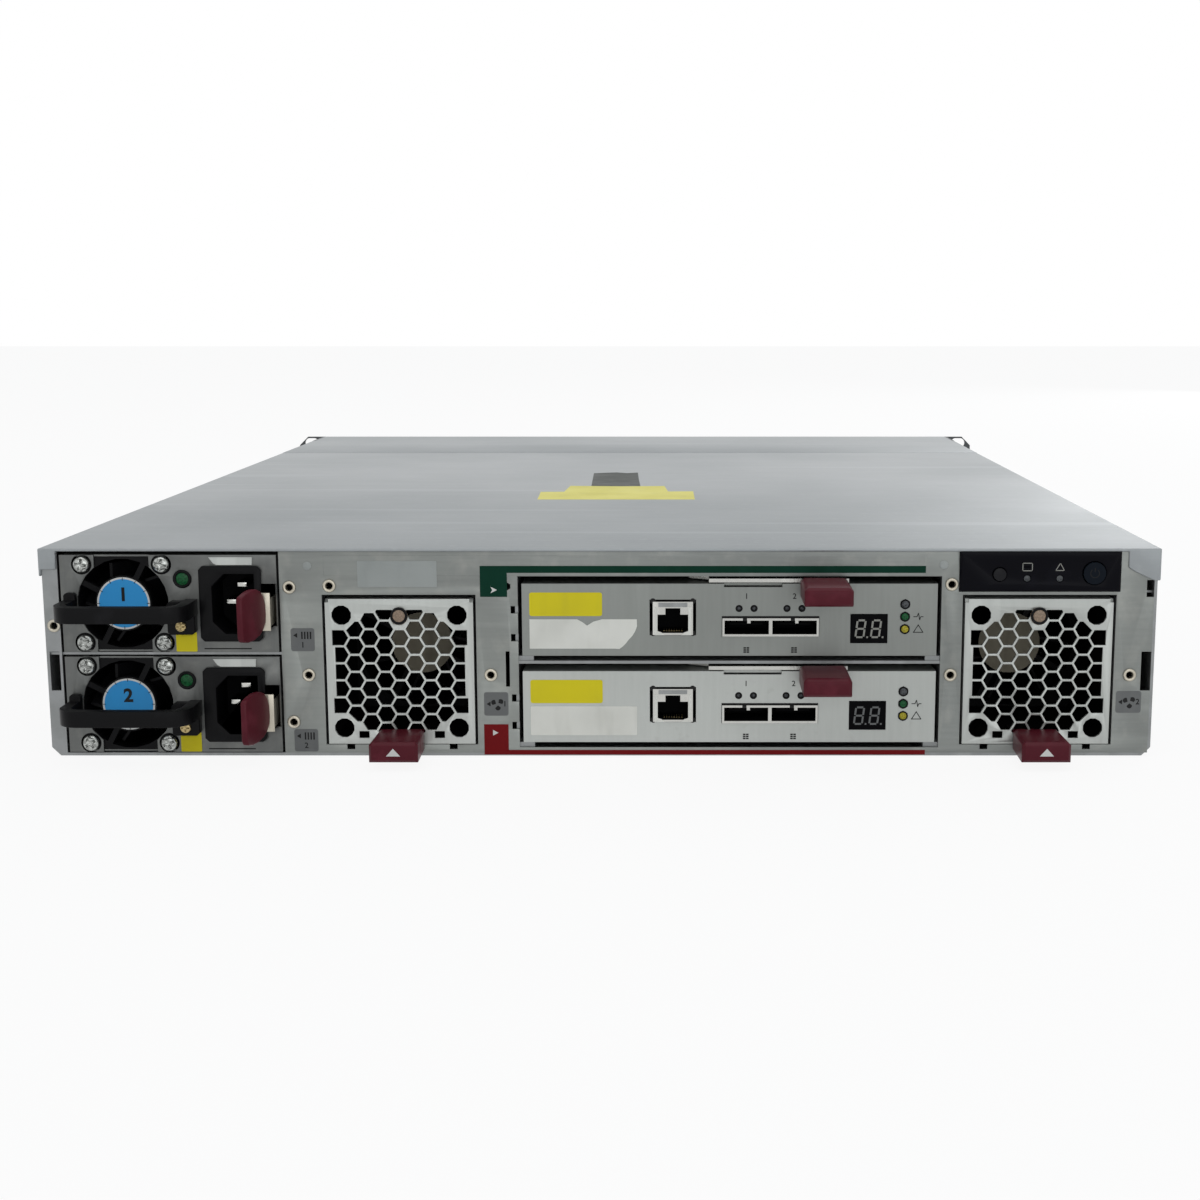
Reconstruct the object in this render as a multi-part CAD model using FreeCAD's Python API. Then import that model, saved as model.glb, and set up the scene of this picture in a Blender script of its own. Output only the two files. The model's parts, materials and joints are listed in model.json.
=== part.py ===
import FreeCAD, Part
import math
import os

# Rack disk shelf, two units high, for 25 small disk drives.  Millimetres.
# X runs to the right seen from the rear, Y from the rear face to the drive bays, Z up.
# Every piece is drawn with Y = 0 on the outer rear face and Z = 0 under the floor, then
# place() moves it so that the origin is the centre of the floor's underside.

os.makedirs("parts", exist_ok=True)

# ---------------------------------------------------------------- driving dimensions

rack_width = 482.6
ear_reach = 17.3         # from the body's side to the ear's tip
body_width = rack_width - 2 * ear_reach
body_height = 85.0
body_depth = 580.0

run_gap = 0.3            # between a sliding module and what it rests on
shaft_gap = 0.05         # radial, every turning fit
seat_gap = 0.2           # between a fixed piece and its cut-out

# folded steel
pan_sheet = 1.2
cover_sheet = 1.2
lip_sheet = 1.0
lip_height = 10.0
flange_width = 5.0       # rear return of the left wall
corner_cut = 9.0         # bevel at both lower rear corners
seam_inset = 137.0       # front end of the lift-off cover, from the body's front
cover_seam = body_depth - seam_inset
seam_gap = 0.8
cover_tab_left = 7.0
cover_tab_right = 13.0
cover_tab_drop = 8.5
side_slot_width = 4.0    # slots in the rear returns
side_slot_low = 27.0
side_slot_high = 43.0

# columns of the rear panel, left to right
psu_width = 86.5
psu_side_gap = 1.0
psu_column = 0.0375 * body_width     # power supply bay to fan 1
io_column = 0.0377 * body_width      # fan 1 to the I/O bay
fan_column = 0.019 * body_width      # I/O bay to fan 2
end_column = 0.0333 * body_width     # fan 2 to the right wall
fan_sill = 4.6
fan_head = 18.8          # over the fan openings, for the control panel
fan_opening = body_height - fan_sill - fan_head
io_side_gap = 1.6
io_sill = 3.4
io_head = 10.1           # I/O opening's head below the cover
emboss_drop = 10.0
emboss_proud = 0.6

# power supplies
psu_depth = 195.0
psu_sheet = 0.8
psu_top_gap = 1.5
psu_shelf_gap = 0.7
shelf_sheet = 1.0
psu_fan_depth = 28.0
screw_head = 3.2
screw_head_height = 1.2
screw_shank = 1.45
screw_core = 1.2
screw_length = 9.0
lamp_hole = 3.7
inlet_width = 24.9
inlet_height = 30.6
inlet_head = 4.4         # over the inlet's flange
inlet_flange = 1.2
inlet_body_step = 1.1
inlet_depth = 22.0
socket_width = 16.9
socket_height = 24.3
socket_depth = 16.0
socket_offset = 1.2
socket_corner = 5.0
pin_pitch = 14.0
pin_offset = 4.5
pin_thick = 2.0
pin_wide = 4.0
pin_start = 5.0
handle_inset = 1.8
handle_reach = 22.0
handle_strap = 4.6
handle_tall = 6.4
handle_z = 18.5
handle_bend = 9.0
foot_width = 10.8
foot_thick = 4.5
foot_screw_z = 11.2
foot_screw_head = 2.4
latch_pivot_y = 24.0
latch_pivot_inset = 2.7
latch_barrel = 1.5
latch_arm = 1.0
latch_arm_low = 11.0
latch_arm_high = 22.0
latch_plate_wide = 5.8
latch_plate_low = 9.2
latch_plate_high = 24.6
latch_plate_y = 2.6      # how far the spring plate stands off the face
latch_plate_thick = 0.8
latch_lug = 2.0
paddle_reach = 18.0
paddle_lean = 5.0
paddle_thick = 2.4
paddle_low = 5.8
paddle_high = 27.2
paddle_round = 7.0
latch_slot_wide = 5.6
edge_width = 50.0        # card edge at the supply's inner end
edge_height = 3.0
edge_length = 8.0

# fan modules
fan_width = fan_opening - 2.2
fan_height = fan_opening - 2.0
fan_sheet = 0.9
fan_face = 1.2
fan_module_depth = 105.0
fan_frame_gap = 0.2
fan_frame_depth = 38.0
fan_frame_y = 62.0       # the fan sits deep, behind an empty entry length
fan_bore = 0.465 * fan_width
fan_hub = 0.21 * fan_width
fan_corner = 2.5
fan_shaft = 1.5
hub_disc = 3.2
strut_half = 1.1
strut_depth = 2.5
strut_turn = 28.0        # degrees from upright
rotor_gap = 0.8
blade_gap = 0.6
blade_thick = 1.1
hex_pitch = 7.0
hex_flats = 6.2
hex_side_clip = 0.4394 * fan_width
hex_top_clip = 0.4276 * fan_width
hex_corner_clip = 0.648 * fan_width
corner_hole = 3.9
corner_pitch = 0.781 * fan_width
guide_radius = 3.5
guide_rise = 0.3855 * fan_width
guide_proud = 0.8
slot_pair = 30.6
slot_pair_width = 4.1
slot_pair_height = 2.9
slot_pair_z = 3.8
grip_root = 18.4
grip_tip = 19.4
grip_reach = 24.0
grip_start = 1.6
grip_low = 3.1
grip_high = 11.3
grip_edge = 1.2
grip_wall = 2.2
grip_hollow = 2.6
stem_half = 7.0
stem_low = 6.4
stem_high = 9.6
stem_slot_gap = 1.2
fan_pivot_y = 5.0
fan_barrel = 1.8
fan_barrel_half = 10.6
fan_ear = 1.6

# I/O modules
io_depth = psu_depth - 5.0
io_face = 1.2
io_sheet = 1.0
io_rail_height = 2.2
io_rail_width = 6.0
io_shelf = 1.2
io_shelf_gap = 3.0
io_hem_depth = 22.0
jack_low = 8.4
jack_width = 18.7
jack_height = 14.5
shield_inset = 1.3
shield_depth = 16.0
jack_mouth = 12.3
jack_mouth_height = 10.1
jack_mouth_depth = 12.0
jack_key = 6.0
cage_low = 7.8
cage_width = 39.1
cage_height = 7.8
cage_depth = 20.0
cage_proud = 0.8
port_width = 17.8
port_height = 5.6
port_low = 0.9
port_depth = 14.0
port_bridge = 1.4
tongue_low = 2.6
tongue_thick = 1.0
tongue_start = 6.0
light_low = 19.3
light_radius = 1.28
light_pair = 6.0
display_width = 15.0
display_height = 12.0
display_low = 5.1
status_radius = 1.9
status_low = 10.9
status_step = 5.05
lever_sheet = 1.5
lever_lift = 0.5
lever_pivot_y = 9.0
lever_pin = 2.0
lever_pin_length = 4.0
lever_eye = 5.0
lever_bar = 7.0
lever_span = 51.0        # pivot to the bar's free end
lever_cam = 11.0
tongue_width = 12.0
lever_grip_width = 19.0
lever_grip_reach = 27.0
lever_grip_height = 7.6
lever_grip_edge = 1.4
board_thick = 1.6
board_rise = 5.0
chip_places = ((0.27, 0.45, 32.0, 3.0), (0.62, 0.5, 26.0, 2.4), (0.84, 0.4, 20.0, 2.0))

# control panel
bezel_left = 1.7         # past the fan opening's left edge
bezel_side = 3.0         # the bezel is this much wider than a fan opening
bezel_width = fan_opening + bezel_side
bezel_low = 1.3
bezel_plate = 1.6
bezel_body_inset = 1.4
bezel_body_depth = 9.0
bezel_top = 0.4
bezel_edge = 0.9
uid_x = 15.9
uid_z = 7.2
uid_radius = 2.5
power_x = bezel_width - 10.9
power_z = 7.7
power_radius = 4.4
panel_light_x = 26.9
panel_light_step = 13.0
panel_light_z = 5.5
panel_light_radius = 1.4
button_gap = 0.3
button_proud = 0.7

# facets of round pieces that repeat or lie hidden
hidden_sides = 6
pin_sides = 12
head_sides = 12
knob_sides = 16
fan_sides = 24

# pressed-in hexagonal nuts
nut_flats = 2.3
nut_bore = 1.45
nut_proud = 0.5
nut_depth = 2.6

# drive bays
bay_count = 25
bay_side = 5.55          # between the outer bays and the pan's walls
bay_sheet = 0.8
bay_floor = 1.2
bay_head = 3.8           # from the bays' ceiling to the top of the body
bay_plate = 0.8
drive_room = 134.0       # from the drives' backplane to the body's front
air_slot_top = 5.2
air_slot_height = 20.0
connector_depth = 7.5
connector_width = 6.0
connector_height = 40.0
carrier_gap = 0.3
bezel_deep = 12.0
bezel_setback = 2.0      # the bezels' backs lie this far inside the ears
carrier_rail = 3.0
disk_length = 100.0
disk_side = 0.45         # from a disk to its carrier's side
connector_gap = 0.3
disk_gap = 0.15
blank_depth = 9.0
blank_plug = 10.0
blank_wall = 1.2
blank_pocket = 3.5
drive_lever_thick = 5.0
drive_lever_pin = 1.4
drive_lever_heel = 2.0
drive_lever_room = 3.2
drive_button_height = 12.0
drive_travel_room = 2.4

# rack ears
ear_sheet = 2.0
ear_side_sheet = 1.5
ear_side_length = 38.0
ear_corner = 6.0
ear_slot_length = 10.0
ear_slot_width = 6.8
ear_slot_edge = 8.8      # the ear's height less the slots' pitch
rack_hole_edge = 17.5    # the rack width less the slots' pitch
thumb_radius = 6.5
thumb_length = 14.0
thumb_shank = 2.4
thumb_shank_length = 14.0
thumb_sides = 16

# circuit boards between the bays
rear_board_gap = 12.0
bridge_width = 120.0
bridge_z = 40.0
window_width = 26.0
window_height = 22.0

# ---------------------------------------------------------------- worked-out places

half_width = body_width / 2
pan_half = half_width - lip_sheet
wall_in = pan_half - pan_sheet
cover_z = body_height - cover_sheet
floor_z = pan_sheet

psu_x = -wall_in + flange_width + psu_side_gap
psu_bay_right = psu_x + psu_width + psu_side_gap
psu_stack = cover_z - floor_z - run_gap - psu_shelf_gap - shelf_sheet - run_gap - psu_top_gap
psu_height = psu_stack / 2
psu_low_z = floor_z + run_gap
shelf_z = psu_low_z + psu_height + psu_shelf_gap
psu_high_z = shelf_z + shelf_sheet + run_gap

# places on a power supply, as shares of its width and height
psu_fan_x = 0.2855 * psu_width
psu_fan_hole = 0.462 * psu_height
psu_fan_bore = 0.457 * psu_height
psu_fan_hub = 0.2843 * psu_height
psu_screw_pitch = 0.807 * psu_height
lamp_x = 0.564 * psu_width
lamp_z = 0.7538 * psu_height
inlet_x = 0.6416 * psu_width
inlet_z = psu_height - inlet_height - inlet_head
foot_screw_x = 0.563 * psu_width
handle_span = 0.609 * psu_width

fan_1_left = psu_bay_right + psu_column
fan_1_x = fan_1_left + fan_opening / 2
io_left = fan_1_left + fan_opening + io_column
fan_2_left = wall_in - end_column - fan_opening
fan_2_x = fan_2_left + fan_opening / 2
io_right = fan_2_left - fan_column
io_width = io_right - io_left - 2 * io_side_gap
io_x = io_left + io_side_gap
io_top = cover_z - io_head
io_height = (io_top - io_sill - 2 * io_rail_height - io_shelf - 2 * io_shelf_gap) / 2
io_low_z = io_sill + io_rail_height
io_shelf_z = io_low_z + io_height + io_shelf_gap
io_high_z = io_shelf_z + io_shelf + io_rail_height
fan_z = fan_sill + run_gap
fan_top = fan_sill + fan_opening
bezel_x = fan_2_left - bezel_left
bezel_z = fan_top + bezel_low
bezel_height = body_height - bezel_top - bezel_z

# along an I/O module's face, as shares of the width that its sockets and display leave
io_spare = io_width - jack_width - cage_width - display_width
jack_x = 0.546 * io_spare
cage_x = jack_x + jack_width + 0.11 * io_spare
display_inset = 0.211 * io_spare
status_inset = 0.1375 * io_spare
lever_pivot_x = cage_x - 0.2

bay_span = 2 * (wall_in - bay_side)
bay_pitch = bay_span / bay_count
bay_low = floor_z + bay_floor
bay_ceiling = body_height - bay_head
carrier_width = bay_pitch - bay_sheet - 2 * carrier_gap
disk_thick = carrier_width - 2 * disk_side
drive_board_y = body_depth - drive_room
drive_lever_height = 0.6345 * (bay_ceiling - bay_low)
ear_slot_pitch = body_height - ear_slot_edge
rack_hole_pitch = rack_width - rack_hole_edge
rear_board_y = psu_depth + rear_board_gap
board_half = wall_in - 3.0
ear_face_y = body_depth - ear_sheet


# ---------------------------------------------------------------- shape helpers

def box(x0, x1, y0, y1, z0, z1):
    return Part.makeBox(x1 - x0, y1 - y0, z1 - z0, FreeCAD.Vector(x0, y0, z0))


def rod(x, z, radius, y0, y1):
    return Part.makeCylinder(radius, y1 - y0, FreeCAD.Vector(x, y0, z), FreeCAD.Vector(0, 1, 0))


def outline(points):
    """Closed flat face through the given vectors."""
    return Part.Face(Part.makePolygon(points + [points[0]]))


def prism_y(x, z, flats, sides, y0, y1):
    """Regular prism along Y, given by half its width across the flats."""
    corner_radius = flats / math.cos(math.pi / sides)
    ring = []
    for corner in range(sides):
        angle = 2 * math.pi * (corner + 0.5) / sides
        ring.append(FreeCAD.Vector(x + corner_radius * math.cos(angle), y0,
                                   z + corner_radius * math.sin(angle)))
    return outline(ring).extrude(FreeCAD.Vector(0, y1 - y0, 0))


def faceted(x, y, z, along, radius, sides, hole=False):
    """Round bar drawn with flat facets, or the cutter for its hole, from a point along a vector."""
    flats = radius if hole else radius * math.cos(math.pi / sides)
    prism = prism_y(0, 0, flats, sides, 0, along.Length)
    turn = FreeCAD.Rotation(FreeCAD.Vector(0, 1, 0), along)
    prism.Placement = FreeCAD.Placement(FreeCAD.Vector(x, y, z), turn)
    return prism


def bevelled(x0, x1, y0, y1, z0, z1, size, along="z"):
    """Box whose edges along one direction are bevelled."""
    solid = box(x0, x1, y0, y1, z0, z1)
    length = {"x": x1 - x0, "y": y1 - y0, "z": z1 - z0}[along]
    picked = []
    for edge in solid.Edges:
        span = edge.BoundBox
        reach = {"x": span.XLength, "y": span.YLength, "z": span.ZLength}[along]
        if abs(reach - length) < 1e-6:
            picked.append(edge)
    return solid.makeChamfer(size, picked)


def slot_y(x, z, length, width, y0, y1):
    """Oblong cutter along X with round ends, through Y."""
    reach = (length - width) / 2
    middle = box(x - reach, x + reach, y0, y1, z - width / 2, z + width / 2)
    ends = [rod(x - reach, z, width / 2, y0, y1), rod(x + reach, z, width / 2, y0, y1)]
    return middle.multiFuse(ends)


def join(shapes):
    return shapes[0].multiFuse(shapes[1:]).removeSplitter()


def place(name, shape):
    """Moves a finished piece to the shelf's own origin and writes its file."""
    shape = shape.copy()
    shape.translate(FreeCAD.Vector(0, -body_depth / 2, 0))
    shape.exportStep("parts/" + name + ".step")


# ---------------------------------------------------------------- steel body

def chassis_pan():
    floor = box(-pan_half, pan_half, 0, ear_face_y, 0, pan_sheet)
    sides = []
    for side in (-1, 1):
        low, high = sorted((side * wall_in, side * pan_half))
        sides.append(box(low, high, 0, ear_face_y, 0, cover_z))
    rear_return = box(-wall_in, -wall_in + flange_width, 0, pan_sheet, 0, cover_z)
    pan = join([floor] + sides + [rear_return])
    slot = box(-wall_in, -wall_in + side_slot_width, -1, pan_sheet + 1, side_slot_low, side_slot_high)
    nut = prism_y(nut_places()[0][0], nut_places()[0][1], nut_flats, 6, -1, pan_sheet + 1)
    pan = pan.cut(Part.makeCompound([slot, nut] + lower_bevels()))
    return pan


def lower_bevels():
    """Corner notches at both ends of the rear edge, under the walls."""
    cuts = []
    for side in (-1, 1):
        tip = side * (pan_half + 1)
        inner = side * (pan_half - corner_cut / 2)
        face = outline([FreeCAD.Vector(tip, -1, -1), FreeCAD.Vector(tip, -1, corner_cut / 2),
                        FreeCAD.Vector(inner, -1, -1)])
        cuts.append(face.extrude(FreeCAD.Vector(0, corner_cut, 0)))
    return cuts


def nut_places():
    """Centres of the pressed-in nuts on the rear face; the first is on the left return."""
    middle_z = (fan_sill + fan_top) / 2 - 2.0
    head_z = fan_top + 3.6
    fan_side = io_left - io_column + 5.6
    return [(-wall_in + flange_width / 2, 53.6), (psu_bay_right + 3.9, head_z - 0.6),
            (psu_bay_right + 10.6, middle_z), (psu_bay_right + 3.9, 14.0),
            (fan_1_left + 3.1, head_z), (fan_side, middle_z),
            (io_right + (io_shelf + fan_column - bezel_left) / 2, head_z + 0.6),
            (io_right + fan_column / 2, middle_z),
            (wall_in - end_column / 2 - 1.0, middle_z)]


def rear_panel():
    sheet = box(psu_bay_right, wall_in, 0, pan_sheet, floor_z, cover_z)
    raised = box(fan_1_left + 1.0, io_right - 6.5, -emboss_proud, 0, cover_z - emboss_drop, cover_z - 1.6)
    edges = [edge for edge in raised.Edges
             if edge.BoundBox.YMax < -emboss_proud + 1e-6]
    raised = raised.makeChamfer(emboss_proud * 0.9, edges)
    sheet = sheet.fuse(raised)
    cuts = []
    for left in (fan_1_left, fan_2_left):
        cuts.append(box(left, left + fan_opening, -2, 3, fan_sill, fan_top))
        middle = left + fan_opening / 2
        for side in (-1, 1):
            notch_x = middle + side * slot_pair * 0.68
            cuts.append(box(notch_x - 1.6, notch_x + 1.6, -2, 3, fan_sill - 2.0, fan_sill + 0.1))
    cuts.append(box(io_left, io_right, -2, 3, io_sill, io_top))
    inset = bezel_body_inset - seat_gap
    cuts.append(box(bezel_x + inset, bezel_x + bezel_width - inset, -2, 3,
                    bezel_z + inset, cover_z + 1))
    for x, z in nut_places()[1:]:
        cuts.append(prism_y(x, z, nut_flats, 6, -2, 3))
    cuts.append(prism_y(io_left - 4.3, fan_top + 3.4, nut_bore, hidden_sides, -2, 3))
    cuts.append(box(io_left - 5.2, io_left - 3.6, -2, 3, 28.6, 43.1))
    for low in (11.0, 22.4, 47.2, 58.6):
        cuts.append(box(io_left - 2.9, io_left + 0.1, -2, 3, low, low + 3.0))
    cuts.append(box(wall_in - side_slot_width, wall_in + 0.1, -2, 3, side_slot_low, side_slot_high))
    cuts.append(box(wall_in - 3.0, wall_in + 0.1, -2, 3, 65.3, 72.2))
    return sheet.cut(Part.makeCompound(cuts)).removeSplitter()


def threaded_inserts():
    nuts = []
    for x, z in nut_places():
        nut = prism_y(x, z, nut_flats, 6, -nut_proud, nut_depth)
        nuts.append(nut.cut(rod(x, z, nut_bore, -nut_proud - 1, nut_depth + 1)))
    return Part.makeCompound(nuts)


def top_cover():
    top = box(-half_width, half_width, -lip_sheet, cover_seam, cover_z, body_height)
    lips = []
    for side in (-1, 1):
        low, high = sorted((side * pan_half, side * half_width))
        lips.append(box(low, high, -lip_sheet, cover_seam, cover_z - lip_height, cover_z))
    left_tab = box(-half_width, -half_width + cover_tab_left, -lip_sheet, 0,
                   cover_z - cover_tab_drop + 1.2, cover_z)
    x1 = half_width
    x0 = half_width - cover_tab_right
    z0 = cover_z - cover_tab_drop - 3.2
    right_tab = outline([FreeCAD.Vector(x0, 0, cover_z), FreeCAD.Vector(x0, 0, z0 + 5.2),
                         FreeCAD.Vector(x0 + 3.0, 0, z0 + 3.4), FreeCAD.Vector(x1 - 2.6, 0, z0),
                         FreeCAD.Vector(x1, 0, z0), FreeCAD.Vector(x1, 0, cover_z)])
    right_tab = right_tab.extrude(FreeCAD.Vector(0, -lip_sheet, 0))
    return join([top] + lips + [left_tab, right_tab])


def rack_ears():
    ears = []
    for side in (-1, 1):
        tip = side * rack_width / 2
        root = side * pan_half
        x0, x1 = sorted((tip, root))
        ear = box(x0, x1, ear_face_y, body_depth, 0, body_height)
        tall = [edge for edge in ear.Edges
                if edge.BoundBox.YLength > ear_sheet * 0.9 and abs(edge.BoundBox.XMin - tip) < 1e-6]
        ear = ear.makeChamfer(ear_corner, tall)
        x0, x1 = sorted((root, side * (pan_half + ear_side_sheet)))
        leg = box(x0, x1, body_depth - ear_side_length, ear_face_y, 0, body_height)
        ear = ear.fuse(leg)
        slots = []
        for height in (-1, 1):
            slots.append(slot_y(side * rack_hole_pitch / 2, body_height / 2 + height * ear_slot_pitch / 2,
                                ear_slot_length, ear_slot_width, ear_face_y - 1, body_depth + 1))
        slots.append(prism_y(side * rack_hole_pitch / 2, body_height / 2, thumb_shank + shaft_gap, pin_sides,
                             ear_face_y - 1, body_depth + 1))
        ears.append(ear.cut(Part.makeCompound(slots)).removeSplitter())
    return Part.makeCompound(ears)


def thumbscrew(side):
    x = side * rack_hole_pitch / 2
    z = body_height / 2
    head = prism_y(x, z, thumb_radius, thumb_sides, body_depth + run_gap, body_depth + thumb_length)
    groove = box(x - thumb_radius - 1, x + thumb_radius + 1, body_depth + thumb_length - 1.4,
                 body_depth + thumb_length + 1, z - 0.8, z + 0.8)
    shank = rod(x, z, thumb_shank, ear_face_y - thumb_shank_length, body_depth + 1)
    collar = prism_y(x, z, thumb_shank + 1.2, 6, ear_face_y - run_gap - 1.2, ear_face_y - run_gap)
    return join([head.cut(groove), shank, collar])


# ---------------------------------------------------------------- inner walls and boards

def fan_tunnel(middle, left, right):
    """Roof, two cheeks and two floor rails round one fan module."""
    reach = fan_width / 2 + 1.2
    roof = box(left, right, nut_depth + 1.0, fan_module_depth + 8, fan_top + 0.4, fan_top + 1.2)
    pieces = [roof]
    for side in (-1, 1):
        low, high = sorted((middle + side * reach, middle + side * (reach + 0.8)))
        pieces.append(box(low, high, pan_sheet, fan_module_depth + 8, floor_z, fan_top + 0.4))
        low, high = sorted((middle + side * (reach - 6.0), middle + side * reach))
        pieces.append(box(low, high, pan_sheet, fan_module_depth, floor_z, fan_z - run_gap))
    return pieces


def bay_walls():
    psu_wall = box(psu_bay_right, psu_bay_right + shelf_sheet, pan_sheet, psu_depth + 6, floor_z, cover_z)
    shelf = box(-wall_in, psu_bay_right, pan_sheet, psu_depth + 2, shelf_z, shelf_z + shelf_sheet)
    pieces = [psu_wall, shelf]
    io_reach = io_depth + 8
    left_wall = box(io_left - io_shelf, io_left, pan_sheet, io_reach, floor_z, cover_z)
    right_wall = box(io_right, io_right + io_shelf, pan_sheet, io_reach, floor_z, cover_z)
    io_plate = box(io_left, io_right, 0.6, io_reach, io_shelf_z, io_shelf_z + io_shelf)
    pieces += [left_wall, right_wall, io_plate]
    for low, high in ((floor_z, io_low_z - run_gap), (io_shelf_z + io_shelf, io_high_z - run_gap)):
        pieces.append(box(io_left, io_left + io_rail_width, pan_sheet, io_reach, low, high))
        pieces.append(box(io_right - io_rail_width, io_right, pan_sheet, io_reach, low, high))
    pieces += fan_tunnel(fan_1_x, psu_bay_right + shelf_sheet, io_left - io_shelf)
    pieces += fan_tunnel(fan_2_x, io_right + io_shelf, wall_in)
    return join(pieces)


def board_windows(centres, low_rows, y):
    cuts = []
    for x in centres:
        for z in low_rows:
            cuts.append(box(x - window_width / 2, x + window_width / 2, y - 1, y + board_thick + 1,
                            z, z + window_height))
    return Part.makeCompound(cuts)


def rear_backplane():
    top = cover_z - 2.0
    board = box(-board_half, board_half, rear_board_y, rear_board_y + board_thick, floor_z, top)
    centres = [fan_1_x - 15, fan_1_x + 17, fan_2_x - 15, fan_2_x + 17]
    return board.cut(board_windows(centres, (8.0, 44.0), rear_board_y))


def rear_connectors():
    blocks = []
    for low in (psu_low_z, psu_high_z):
        middle = psu_x + psu_width / 2
        z = low + psu_height / 2
        block = box(middle - edge_width / 2 - 3, middle + edge_width / 2 + 3,
                    psu_depth + 2.0, rear_board_y, z - 5.0, z + 5.0)
        mouth = box(middle - edge_width / 2 - 0.5, middle + edge_width / 2 + 0.5, psu_depth + 1,
                    psu_depth + edge_length + 1, z - edge_height / 2 - 0.5, z + edge_height / 2 + 0.5)
        blocks.append(block.cut(mouth))
    for low in (io_low_z, io_high_z):
        z = low + board_rise
        for middle in (io_x + io_width * 0.28, io_x + io_width * 0.72):
            blocks.append(box(middle - 24, middle + 24, io_depth + 2.0, rear_board_y, z - 2.0, z + 6.0))
    return Part.makeCompound(blocks)


def bridge_board():
    board = box(-bridge_width / 2, bridge_width / 2, rear_board_y + board_thick, drive_board_y,
                bridge_z, bridge_z + board_thick)
    return board


def drive_backplane():
    board = box(-board_half, board_half, drive_board_y, drive_board_y + board_thick, floor_z, cover_z - 2.0)
    cuts = []
    for place_index in range(bay_count):
        x = bay_x(place_index)
        if place_index % 2:
            cuts.append(box(x - bay_pitch / 2, x + bay_pitch / 2, drive_board_y - 1, drive_board_y + 3,
                            bay_ceiling - air_slot_top - air_slot_height, bay_ceiling - air_slot_top))
    return board.cut(Part.makeCompound(cuts))


def drive_connectors():
    y = drive_board_y + board_thick
    blocks = []
    for place_index in range(bay_count):
        x = bay_x(place_index)
        blocks.append(box(x - connector_width / 2, x + connector_width / 2, y, y + connector_depth,
                          bay_low + 6.0, bay_low + 6.0 + connector_height))
    return Part.makeCompound(blocks)


# ---------------------------------------------------------------- drive bays

def bay_x(place_index):
    return -bay_span / 2 + (place_index + 0.5) * bay_pitch


def drive_cage():
    y0 = drive_board_y + board_thick + 2.0
    y1 = ear_face_y
    outer = bay_span / 2 + bay_sheet / 2
    floor = box(-outer, outer, y0, y1, floor_z, bay_low)
    ceiling = box(-outer, outer, y0, y1, bay_ceiling, bay_ceiling + bay_plate)
    pieces = [floor, ceiling]
    for wall in range(bay_count + 1):
        x = -bay_span / 2 + wall * bay_pitch
        top = cover_z if wall in (0, bay_count) else bay_ceiling
        pieces.append(box(x - bay_sheet / 2, x + bay_sheet / 2, y0, y1, bay_low, top))
    hood = box(-half_width, half_width, cover_seam + seam_gap, body_depth - ear_side_length,
               cover_z, body_height)
    nose = box(-pan_half, pan_half, body_depth - ear_side_length, body_depth, cover_z, body_height)
    pieces += [hood, nose]
    for side in (-1, 1):
        low, high = sorted((side * pan_half, side * half_width))
        pieces.append(box(low, high, cover_seam + seam_gap, body_depth - ear_side_length,
                          cover_z - lip_height, cover_z))
    return join(pieces)


def drive_blank(x):
    """Plug for an empty bay, with a shallow recess in its face."""
    low = bay_low + carrier_gap
    high = bay_ceiling - carrier_gap
    half = carrier_width / 2
    front = ear_face_y - bezel_setback + blank_depth
    plug = box(x - half, x + half, ear_face_y - bezel_setback - blank_plug, front, low, high)
    return plug.cut(box(x - half + blank_wall, x + half - blank_wall, front - blank_pocket, front + 1,
                        low + 4.0, high - 4.0))


def drive_blanks():
    return Part.makeCompound([drive_blank(bay_x(number)) for number in range(bay_count - 1)])


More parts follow.
